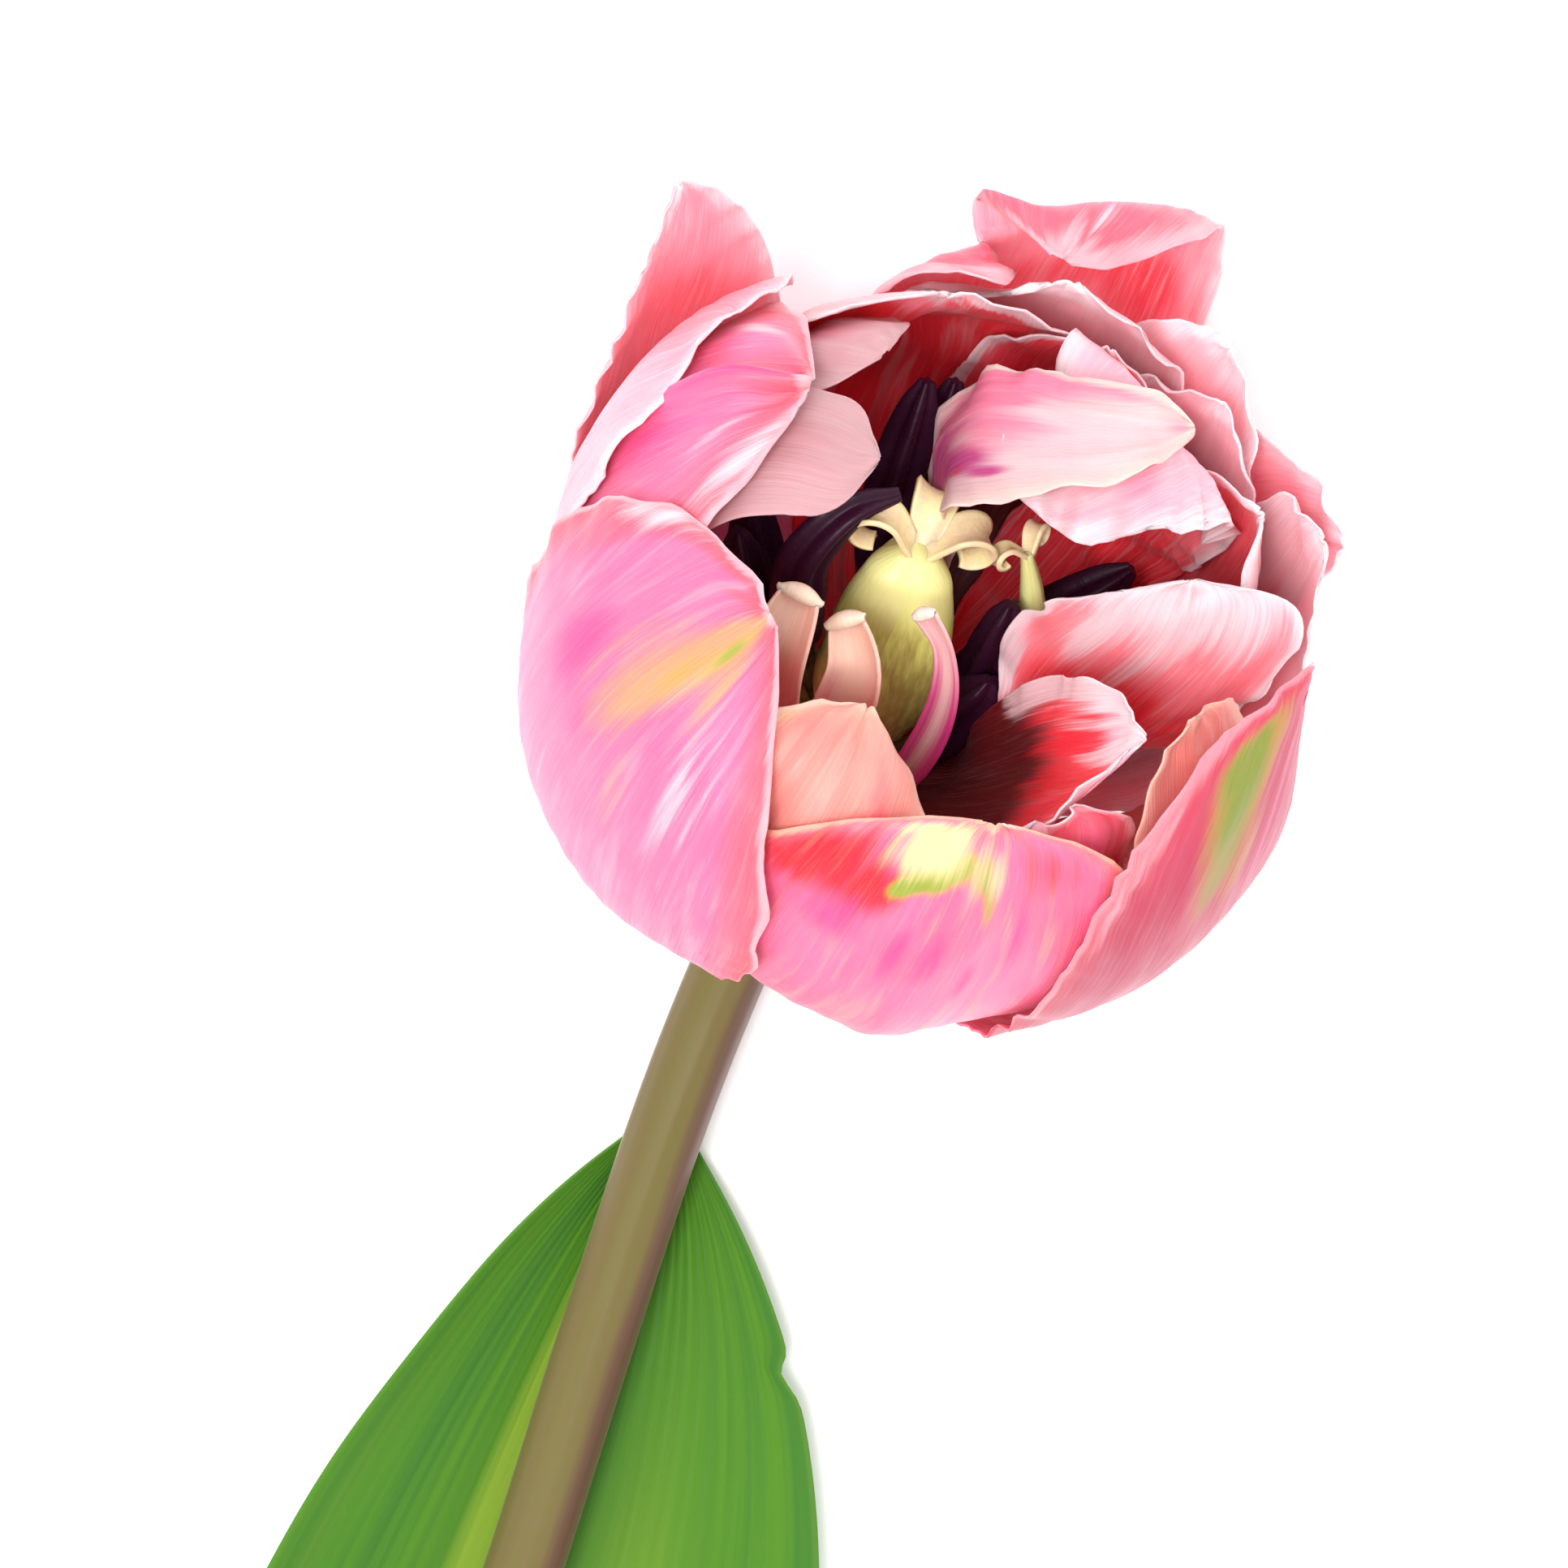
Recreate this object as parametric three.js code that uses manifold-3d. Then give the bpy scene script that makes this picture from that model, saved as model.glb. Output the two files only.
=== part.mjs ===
// Double tulip, one cut flower lying on its side. Millimetres, +Z up, +X from the cut end to the bloom.
import * as THREE from "three";
import Module from "manifold-3d";

// Flower as a whole
const receptacleHeight = 17.6;      // centre of the petal roots above the table
const receptacleSide = -4;          // sideways place of the petal roots
const bloomElevation = 44.25;       // rise of the bloom axis above the table, degrees
const bloomHeading = -9.88;         // sideways swing of the bloom axis, degrees
const bloomTurn = 203.6;            // turn of the petal ring about the bloom axis, degrees

// Stem
const cutEnd = -262;                // cut end of the stem along X
const stemLow = 10.8;               // stem diameter at the cut end
const stemNeck = 9.2;               // stem diameter under the bloom
const stemBed = 6.8;                // height of the stem centre line over the leaf
const receptacleRadius = 5.4;
const receptacleTop = 7;

// Blades
const bladeThickness = 0.7;
const clearance = 1.25;             // least distance between the middle faces of two blades
const leafThickness = 0.9;

// Leaf
const leafTip = -51;
const leafBase = -228;
const leafPress = 0.12;             // how far the middle of the leaf is pressed flat on the table

// Place of the bounding box's middle, which becomes the origin
const middle = [-93.5, -9];

// Petals from the outermost to the innermost. az is the place round the bloom in degrees, mid the middle
// line as (distance from the axis, height along it, turn), half the half width, side and cup shape the blade.
const petals = [
  ["outer_right", { az: 318, mid: [[5.9, 0], [22, -1], [39, 9], [46, 28], [44, 48], [37, 65, 16]], half: 24,
    root: 0.13, peak: 0.52, blunt: 2, point: 1.5, cup: [15, 42, 42], grid: [12, 10] }],
  ["outer_left", { az: 213, mid: [[5.9, 0], [22, -1], [39, 9], [44.6, 27], [41.5, 46], [28.5, 57]], half: 29,
    root: 0.12, peak: 0.58, blunt: [3, 1.7], point: [2, 1.3], side: [1, 0.92], cup: [15, 46, 55],
    grid: [12, 10] }],
  ["outer_back", { az: 72, mid: [[5.9, 0], [22, -1], [39, 9], [48, 28], [49.5, 46], [47, 57], [41, 62.5, 2], [35, 60, 4]],
    half: 22.5, root: 0.13, peak: 0.57, blunt: [1.9, 4.2], point: [1.4, 2.4], side: [0.95, 1.16],
    cup: [15, 24, 38, 40], aim: [-0.96, -0.24, -0.14], grid: [13, 10], wave: [0.7, 2.6, 0.1] }],
  ["spike", { az: 137, mid: [[5.9, 0], [21, -0.6], [37, 9], [44.5, 27], [46.5, 46], [49, 62]], half: 22,
    root: 0.13, peak: 0.5, blunt: [1.9, 1.2], point: [1.4, 1.2], side: [1, 0.62], cup: [15, 34, 24],
    grid: [11, 8] }],
  ["front", { az: 270, mid: [[5.9, 1.6], [21, 0.8], [36, 10], [44, 27], [42, 46], [36.5, 57]], half: 28,
    root: 0.12, peak: 0.6, blunt: 2.6, point: 1.8, cup: [15, 42, 36], crease: 0.9, grid: [12, 10] }],
  ["right", { az: 22, mid: [[5.9, 1.6], [21, 0.8], [36, 10], [43, 27], [43.5, 42, -3], [43.5, 54, -13]],
    half: 20, root: 0.15, peak: 0.52, blunt: 1.9, point: 1.4, cup: [15, 34, 26], grid: [11, 8] }],
  ["back_right", { az: 44, mid: [[5.9, 3.2], [19, 2.6], [34, 11], [42, 27], [42.5, 44], [41.5, 57]], half: 15,
    root: 0.2, peak: 0.6, blunt: 2.6, point: 1.8, cup: [15, 28, 24], grid: [10, 6], wave: [0.6, 2.5, 0.3] }],
  ["left_rim", { az: 146, mid: [[5.9, 1.6], [20, 1], [35, 10], [42, 27], [41, 46], [35.5, 58]], half: 22,
    root: 0.14, peak: 0.65, blunt: 3, point: 2.2, side: [1, 0.85], cup: [15, 34, 34], grid: [11, 8] }],
  ["back_rim", { az: 72, mid: [[5.9, 1.6], [20, 1], [35, 10], [42, 27], [40, 46], [34, 58]], half: 22,
    root: 0.14, peak: 0.65, blunt: 3, point: 2.2, side: [1, 0.85], cup: [15, 34, 34], grid: [11, 8],
    wave: [0.6, 2.4, 0.4] }],
  ["right_mid", { az: 7, mid: [[5.9, 3.2], [17, 4], [32, 12], [40, 28], [41, 45], [39.5, 57]], half: 15,
    root: 0.2, peak: 0.62, blunt: 2.6, point: 2, cup: [15, 24, 20], grid: [10, 6] }],
  ["right_rim", { az: 38, mid: [[5.9, 4.8], [18, 4], [32, 12], [39.5, 27], [39, 45], [36, 56]], half: 14,
    root: 0.2, peak: 0.62, blunt: 2.8, point: 2, cup: [15, 26, 26], grid: [10, 6], wave: [0.6, 2.2, 0] }],
  ["left_fold", { az: 162, mid: [[5.9, 3.2], [18, 3], [33, 12], [40, 28], [39, 46], [33, 58], [23.5, 64, -4]],
    half: 25, root: 0.13, peak: 0.66, blunt: [3.2, 2], point: [2.2, 1.5], side: [0.95, 0.82],
    cup: [15, 38, 45], crease: 1.2, grid: [13, 10] }],
  ["back_red", { az: 99, mid: [[5.9, 3.2], [18, 3], [31, 12], [38, 28], [35, 46], [28, 59]], half: 22,
    root: 0.14, peak: 0.7, blunt: 3.4, point: 2.6, cup: [15, 36, 36], grid: [11, 8] }],
  ["front_gap", { az: 322, mid: [[5.9, 3.2], [17, 5], [29, 13], [36, 28], [35, 43], [30, 54]], half: 13,
    root: 0.22, peak: 0.65, blunt: 3, point: 2, cup: [10, 22, 25], grid: [10, 6] }],
  ["front_in", { az: 284, mid: [[5.9, 3.2], [17, 4], [30, 12], [38, 28], [37, 41], [32, 50]], half: 15.5,
    root: 0.17, peak: 0.7, blunt: 3, point: 2, cup: [10, 28, 30], grid: [10, 8], wave: [0.5, 2.6, 0.2] }],
  ["front_left_in", { az: 243,
    mid: [[5.9, 3.2], [17, 4], [30, 12], [38, 28], [39, 42], [34, 50], [22.5, 49, -2]], half: 15, root: 0.2, peak: 0.68, blunt: 2.2, point: 1.6, cup: [10, 24, 20], crease: 1.3, grid: [11, 8] }],
  ["back_small", { az: 60, mid: [[5.9, 4.8], [17, 5], [29, 13], [36, 28], [35, 44], [31.5, 55]], half: 14,
    root: 0.2, peak: 0.65, blunt: 2.8, point: 2, cup: [15, 28, 28], grid: [10, 6], wave: [0.6, 2.4, 0.1] }],
  ["right_in", { az: 12, mid: [[5.9, 4.8], [15, 6], [27, 14], [35, 29], [36, 45], [33, 57]], half: 14,
    root: 0.2, peak: 0.65, blunt: 3, point: 2.2, cup: [12, 40, 70], grid: [11, 8], wave: [0.5, 2.7, 0.3] }],
  ["left_curl", { az: 166, mid: [[5.9, 4.8], [14, 7], [26, 16], [33, 32], [32, 48], [25, 59], [13, 61]],
    half: 9.5, root: 0.24, peak: 0.78, blunt: 5, point: 3.2, side: [0.74, 1], cup: [10, 20, 20], grid: [12, 6] }],
  ["white_tip", { az: 129, mid: [[5.9, 4.8], [14, 7], [26, 15], [33, 30], [33, 46], [28, 57], [21, 61, -3]],
    half: 13, root: 0.22, peak: 0.7, blunt: 3, point: 2.4, cup: [10, 20, 30], grid: [11, 6] }],
  ["front_right_in", { az: 303, mid: [[6.2, 4.8], [11, 13], [17, 26], [22, 39], [26.5, 49], [29, 55, 6]],
    half: 15, root: 0.2, peak: 0.7, blunt: 3, point: 2.2, side: [1, 0.66], cup: [10, 26, 50], aim: [0.1, 1, 0],
    grid: [10, 8] }],
  ["partition", { az: 340, mid: [[6.2, 4.8], [13, 14], [19, 28], [23, 42, 3], [24.5, 50, 8], [24, 55, 16]],
    half: 14, root: 0.2, waist: 2.6, peak: 0.74, blunt: 4, point: 3, cup: [10, 10, 8], aim: [0.966, -0.26, 0],
    skew: 0.25, grid: [11, 8] }],
  ["hood", { az: 40,
    mid: [[6.2, 6.4], [15, 8], [26, 15], [32, 30], [33, 44], [29, 55], [20, 59], [7, 55, 18]], half: 14, root: 0.2, peak: 0.72, blunt: 2.6, point: 2, cup: [10, 20, 14], grid: [13, 8],
    wave: [0.9, 3.2, 0.2] }],
  ["petaloid", { az: 95, mid: [[6.2, 7, -30], [8, 16, -26], [12, 32, -16], [17.5, 46, -5], [16, 55, -25],
    [18.5, 60, -52], [27, 61, -64]], half: 10.5, root: 0.12, waist: 7, peak: 0.68, blunt: [1.3, 3],
    point: [1.2, 2.2], side: [1.25, 0.6],
    cup: [5, 8, 10], aim: [0.25, 1, 0], grid: [12, 6] }],
];

// Stamens: place round the bloom and tilt of the anther, as (distance, height, turn) of foot, middle and tip.
const stamens = [
  ["back_left", [[4.1, 7.5, 98], [9, 18, 100], [17, 31, 99], [25, 46, 96]]],
  ["back", [[4.1, 7.5, 78], [10, 17, 82], [19, 30, 86], [27, 44, 87]]],
  ["left_high", [[4.1, 7.5, 140], [8.5, 18, 150], [9.5, 28, 170], [8, 44, 118]]],
  ["left_low", [[4.1, 7.5, 165], [10, 16, 168], [17, 24, 168], [23, 36, 160]]],
  ["left_far", [[4.1, 7.5, 120], [11, 15, 135], [19, 23, 142], [24, 34, 145]]],
  ["right_high", [[4.1, 7.5, 45], [10, 16, 30], [16, 25, 24], [26, 38, 22]]],
  ["right_low", [[4.1, 7.5, 20], [10, 15, 16], [16, 22, 12], [25, 33, 14]]],
  ["front_right", [[4.1, 7.5, 336], [8.5, 15, 350], [10, 25, 352], [9.5, 39, 12]]],
  ["front_low", [[4.1, 7.5, 306], [8, 14, 316], [10.5, 22, 325], [10.5, 33, 335]]],
];

const rad = Math.PI / 180;
const clamp = (v, a, b) => Math.min(b, Math.max(a, v));
const smooth = (t, a, b) => { const x = clamp((t - a) / (b - a), 0, 1); return x * x * (3 - 2 * x); };
const add = (a, b, k = 1) => [a[0] + b[0] * k, a[1] + b[1] * k, a[2] + b[2] * k];
const sub = (a, b) => add(a, b, -1);
const dot = (a, b) => a[0] * b[0] + a[1] * b[1] + a[2] * b[2];
const cross = (a, b) => [a[1] * b[2] - a[2] * b[1], a[2] * b[0] - a[0] * b[2], a[0] * b[1] - a[1] * b[0]];
const unit = (a) => { const l = Math.hypot(...a) || 1; return [a[0] / l, a[1] / l, a[2] / l]; };
const pick = (v, side, other = 1) => (Array.isArray(v) ? v[side < 0 ? 0 : 1] : v ?? other);

// Bloom axes in the flower's own frame
const axis = [Math.cos(bloomElevation * rad) * Math.cos(bloomHeading * rad),
  Math.cos(bloomElevation * rad) * Math.sin(bloomHeading * rad), Math.sin(bloomElevation * rad)];
const level = [-Math.sin(bloomHeading * rad), Math.cos(bloomHeading * rad), 0];
const rise = cross(axis, level);
const across = add(level.map((v) => v * Math.cos(bloomTurn * rad)), rise, Math.sin(bloomTurn * rad));
const upright = cross(axis, across);
const centre = [0, receptacleSide, receptacleHeight];
const table = 0.25;                 // least height of a petal's middle face, so that its lowest spot is flat
const inFlower = (p) => add(add(add(centre, across, p[0]), upright, p[1]), axis, p[2]);
const polar = (r, w, turn) => [r * Math.cos(turn * rad), r * Math.sin(turn * rad), w];

// Smooth line through points, read at given fractions of its length
function line(points, fractions) {
  const n = points[0].length;
  const p = [points[0].map((v, k) => 2 * v - points[1][k]), ...points,
    points.at(-1).map((v, k) => 2 * v - points.at(-2)[k])];
  const q = [];
  for (let i = 1; i < p.length - 2; i++) {
    for (let j = 0; j < 24; j++) {
      const u = j / 24;
      q.push(Array.from({ length: n }, (_, k) => {
        const [a, b, c, d] = [p[i - 1][k], p[i][k], p[i + 1][k], p[i + 2][k]];
        return b + 0.5 * u * ((c - a) + (2 * a - 5 * b + 4 * c - d) * u + (3 * b - a - 3 * c + d) * u * u);
      }));
    }
  }
  q.push(points.at(-1));
  const length = [0];
  for (let i = 1; i < q.length; i++) {
    length.push(length[i - 1] + Math.hypot(...[0, 1, 2].map((k) => q[i][k] - q[i - 1][k])));
  }
  return fractions.map((f) => {
    const x = f * length.at(-1);
    let i = 1;
    while (i < q.length - 1 && length[i] < x) i++;
    const u = (x - length[i - 1]) / (length[i] - length[i - 1]);
    return q[i].map((v, k) => q[i - 1][k] * (1 - u) + v * u);
  });
}

function eased(values, t) {
  const x = t * (values.length - 1);
  const i = clamp(Math.floor(x), 0, values.length - 2);
  const f = smooth(x - i, 0, 1);
  return values[i] * (1 - f) + values[i + 1] * f;
}

function widthShape(t, root, waist, peak, blunt, point) {
  if (t < peak) return root + (1 - root) * Math.sin(t / peak * Math.PI / 2) ** waist;
  const x = Math.min((t - peak) / (1 - peak), 1);
  return Math.max(1 - x ** blunt, 0) ** (1 / point);
}

const slopes = (rows) => rows.map((_, i) => {
  return unit(sub(rows[Math.min(i + 1, rows.length - 1)], rows[Math.max(i - 1, 0)]));
});

// Middle face of one petal: rows from root to tip, each from one margin to the other, in bloom axes
function petalFace(d) {
  const [rows, half] = [d.grid[0], Math.floor(d.grid[1] / 2)];
  const fractions = Array.from({ length: rows }, (_, i) => 1 - (1 - i / (rows - 1)) ** 1.3);
  const mid = line(d.mid.map(([r, w, turn = 0]) => {
    const a = (d.az + turn) * rad;
    return [r * Math.cos(a), r * Math.sin(a), w, a];
  }), fractions);
  const ahead = slopes(mid.map((m) => m.slice(0, 3)));
  return mid.map((m, i) => {
    const t = fractions[i];
    let wide = [-Math.sin(m[3]), Math.cos(m[3]), 0];
    if (d.aim) {
      const f = smooth(t, 0.1, 0.7);
      wide = wide.map((v, k) => v * (1 - f) + d.aim[k] * f);
    }
    wide = unit(add(wide, ahead[i], -dot(wide, ahead[i])));
    const inward = cross(ahead[i], wide);
    const fade = smooth(t, 0.2, 0.5) * (1 - smooth(t, 0.93, 1));
    const groove = (d.crease ?? 0) * smooth(t, 0.1, 0.5) * (1 - smooth(t, 0.9, 1));
    const [amount, count, phase] = d.wave ?? [0, 3, 0];
    const row = [];
    for (const sign of [-1, 1]) {
      const shape = widthShape(t, d.root, d.waist ?? 1.25, d.peak, pick(d.blunt, sign), pick(d.point, sign));
      const b = d.half * pick(d.side, sign) * Math.max(shape, 0.06);
      let [x, y] = [0, 0];
      const part = [];
      for (let j = 0; j <= half; j++) {
        if (j) {
          const bend = eased(d.cup, t) * rad * (j - 0.5) / half;
          x += Math.cos(bend) * b / half;
          y += Math.sin(bend) * b / half;
        }
        const s = j / half;
        const ripple = amount * s ** 2.2 * Math.sin(2 * Math.PI * (count * t + phase + 0.27 * sign)) * fade;
        const dip = groove * Math.exp(-((s / 0.13) ** 2));
        let p = add(m.slice(0, 3), wide, sign * x);
        p = add(p, inward, y + ripple - dip);
        part.push(add(p, ahead[i], (d.skew ?? 0) * b * sign * s));
      }
      if (sign < 0) row.push(...part.reverse());
      else row.push(...part.slice(1));
    }
    return row;
  });
}

function normals(rows) {
  return rows.map((row, i) => row.map((_, j) => {
    const a = sub(rows[Math.min(i + 1, rows.length - 1)][j], rows[Math.max(i - 1, 0)][j]);
    const b = sub(row[Math.min(j + 1, row.length - 1)], row[Math.max(j - 1, 0)]);
    return unit(cross(a, b));
  }));
}

// Closed blade of even thickness about a middle face
function blade(rows, thickness) {
  const n = normals(rows);
  const [R, C] = [rows.length, rows[0].length];
  const points = [];
  for (const side of [0.5, -0.5]) {
    rows.forEach((row, i) => row.forEach((p, j) => points.push(add(p, n[i][j], side * thickness))));
  }
  const at = (side, i, j) => side * R * C + i * C + j;
  const faces = [];
  for (let i = 0; i < R - 1; i++) {
    for (let j = 0; j < C - 1; j++) {
      const [a, b, c, d] = [at(0, i, j), at(0, i + 1, j), at(0, i + 1, j + 1), at(0, i, j + 1)];
      const shift = R * C;
      const cut = (i + j) % 2 ? [[a, b, c], [a, c, d]] : [[a, b, d], [b, c, d]];
      for (const [x, y, z] of cut) faces.push([x, y, z], [x + shift, z + shift, y + shift]);
    }
  }
  const ring = [];
  for (let j = 0; j < C - 1; j++) ring.push([0, j]);
  for (let i = 0; i < R - 1; i++) ring.push([i, C - 1]);
  for (let j = C - 1; j > 0; j--) ring.push([R - 1, j]);
  for (let i = R - 1; i > 0; i--) ring.push([i, 0]);
  ring.forEach(([i, j], k) => {
    const [i2, j2] = ring[(k + 1) % ring.length];
    const [a, b, c, d] = [at(0, i, j), at(0, i2, j2), at(1, i2, j2), at(1, i, j)];
    faces.push([a, b, c], [a, c, d]);
  });
  return { points, faces };
}

// Closed round body along a path: rings of points with a pole at each end
function sweep(path, radii, sides, shape = () => 1) {
  const ahead = slopes(path);
  let side = unit(cross(ahead[0], Math.abs(ahead[0][2]) < 0.9 ? [0, 0, 1] : [1, 0, 0]));
  const points = [path[0]];
  path.forEach((p, i) => {
    side = unit(add(side, ahead[i], -dot(side, ahead[i])));
    const other = cross(ahead[i], side);
    for (let k = 0; k < sides; k++) {
      const a = (k / sides) * 2 * Math.PI;
      const r = radii[i] * shape(a, i);
      points.push(add(add(p, side, r * Math.cos(a)), other, r * Math.sin(a)));
    }
  });
  points.push(path.at(-1));
  const faces = [];
  const last = points.length - 1;
  for (let k = 0; k < sides; k++) {
    const n = (k + 1) % sides;
    faces.push([0, 1 + n, 1 + k]);
    for (let i = 0; i < path.length - 1; i++) {
      const [a, b] = [1 + i * sides + k, 1 + i * sides + n];
      faces.push([a, b, b + sides], [a, b + sides, a + sides]);
    }
    const f = 1 + (path.length - 1) * sides;
    faces.push([last, f + k, f + n]);
  }
  return { points, faces };
}

// Part the petals: points that come closer than the clearance to another blade are moved apart, the later petal
// in the list to the inner side
function part(faces, rounds = 46) {
  const free = new Set(["partition", "front_right_in", "petaloid", "hood"]);
  for (let round = 0; round < rounds; round++) {
    const calm = round < rounds - 12;
    const info = faces.map(({ rows }) => {
      const n = normals(rows);
      const pts = [];
      rows.forEach((row, i) => row.forEach((p, j) => {
        pts.push([p, n[i][j], i, j]);
        for (const [k, l] of [[i, j + 1], [i + 1, j]]) {
          if (k === rows.length || l === row.length) continue;
          pts.push([add(p, rows[k][l]).map((v) => v / 2), unit(add(n[i][j], n[k][l])), i, j]);
        }
      }));
      const lo = [0, 1, 2].map((k) => Math.min(...pts.map((q) => q[0][k])));
      const hi = [0, 1, 2].map((k) => Math.max(...pts.map((q) => q[0][k])));
      return { pts, lo, hi };
    });
    const moves = faces.map(({ rows }) => rows.map((row) => row.map(() => [0, 0, 0, 0])));
    for (let a = 0; a < faces.length; a++) {
      for (let b = a + 1; b < faces.length; b++) {
        const [A, B] = [info[a], info[b]];
        if ([0, 1, 2].some((k) => A.lo[k] > B.hi[k] + 2 || B.lo[k] > A.hi[k] + 2)) continue;
        const hits = [];
        for (const q of B.pts) {
          let [best, near] = [36, null];
          for (const p of A.pts) {
            const [x, y, z] = [q[0][0] - p[0][0], q[0][1] - p[0][1], q[0][2] - p[0][2]];
            const l = x * x + y * y + z * z;
            if (l < best) { best = l; near = p; }
          }
          if (!near) continue;
          const gap = dot(sub(q[0], near[0]), near[1]);
          const aside = best - gap * gap;
          if (aside > 9 || Math.abs(gap) > 5) continue;
          hits.push([q, near, gap]);
        }
        if (!hits.length) continue;
        let want = 1;
        if (free.has(faces[a].name) || free.has(faces[b].name)) {
          want = hits.reduce((v, h) => v + Math.sign(h[2]), 0) >= 0 ? 1 : -1;
        }
        for (const [q, p, gap] of hits) {
          const lack = clearance - want * gap;
          if (lack <= 0) continue;
          const push = p[1].map((v) => v * want * Math.min(lack, 1.2) * 0.5);
          const mb = moves[b][q[2]][q[3]];
          const ma = moves[a][p[2]][p[3]];
          for (let k = 0; k < 3; k++) { mb[k] += push[k]; ma[k] -= push[k]; }
          mb[3]++; ma[3]++;
        }
      }
    }
    faces.forEach(({ rows }, f) => {
      let m = moves[f].map((row) => row.map((v) => (v[3] ? [v[0] / v[3], v[1] / v[3], v[2] / v[3]] : [0, 0, 0])));
      for (let pass = 0; pass < (calm ? 2 : 0); pass++) {
        m = m.map((row, i) => row.map((v, j) => {
          const around = [m[i - 1]?.[j], m[i + 1]?.[j], row[j - 1], row[j + 1]].filter(Boolean);
          return v.map((x, k) => 0.5 * x + 0.5 * around.reduce((s, w) => s + w[k], 0) / around.length);
        }));
      }
      rows.forEach((row, i) => row.forEach((p, j) => {
        const hold = i === 0 ? 0.3 : 1;
        for (let k = 0; k < 3; k++) p[k] += m[i][j][k] * hold * (calm ? 1.5 : 1);
        // stay outside the receptacle and the pistil, and above the table
        const keep = p[2] < receptacleTop + 1 ? receptacleRadius + 0.75 : 0;
        const r = Math.hypot(p[0], p[1]);
        if (r < keep) { p[0] *= keep / r; p[1] *= keep / r; }
        const low = table - inFlower(p)[2];
        if (low > 0) { p[0] += across[2] * low; p[1] += upright[2] * low; p[2] += axis[2] * low; }
      }));
    });
  }
  return faces;
}

// Round bodies: middle line, radii along it, sides round it, section
const even = (n) => Array.from({ length: n }, (_, i) => i / (n - 1));
const antherRadii = [0.6, 0.75, 0.9, 1.2, 1.75, 2, 1.9, 1.45, 0.6];
const antherSteps = [0, 0.12, 0.3, 0.42, 0.52, 0.66, 0.8, 0.92, 1];
const rods = [
  ["side_carpel", [[4.1, -0.4, 7.6], [8.5, -1, 13], [12, 0, 21], [14, 2, 30], [12, 5.4, 38], [10, 7, 42]],
    even(8), [0.7, 1, 1.6, 2, 2.3, 2.1, 1.6, 0.8], 10, (a) => 1 + 0.15 * Math.cos(2 * a), 0xb9bd6a],
  ["ribbon_petaloid",
    [[0.6, -4.1, 7.6], [1.6, -9.5, 16], [2, -11.6, 24], [2.6, -9.4, 33], [1, -6.6, 40], [-3, -4.4, 45]], even(9), [0.6, 0.7, 1, 1.3, 1.5, 1.4, 1.1, 0.8, 1], 8, () => 1, 0xf2b9cc],
  ["curl_left",
    [[-3.6, -2.1, 7.6], [-9.6, -5.6, 16], [-14, -8, 26], [-17.6, -9.6, 36], [-18.6, -8.8, 44], [-17.4, -5.4, 46]], even(8), [0.6, 0.8, 1.1, 1.4, 1.9, 2.1, 1.7, 0.9], 8, () => 1, 0xe8cdbb],
  ["curl_middle",
    [[-1.8, -3.7, 7.6], [-3, -10.5, 14], [-6.6, -12.6, 25], [-9, -12, 36], [-9.4, -9, 43], [-11, -6, 43]], even(8), [0.6, 0.8, 1.1, 1.4, 1.9, 2.1, 1.7, 0.9], 8, () => 1, 0xe8cdbb],
  ...stamens.map(([name, points]) => [`stamen_${name}`, points.map(([r, w, turn]) => polar(r, w, turn)),
    antherSteps, antherRadii, 8, (a) => 1 + 0.08 * Math.cos(4 * a), 0x2a1026]),
];
const pistilPath = line([[0, 0, receptacleTop + 0.4], [-0.6, 0.4, 16], [-1.4, 2, 26], [-2, 4.6, 35], [-2.2, 5.8, 41]],
  [0, 0.06, 0.2, 0.4, 0.6, 0.75, 0.86, 0.93, 1]);
const pistilRadii = [2.2, 2.9, 4.9, 6.6, 6.6, 5.8, 5.2, 5.6, 4.2];

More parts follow.
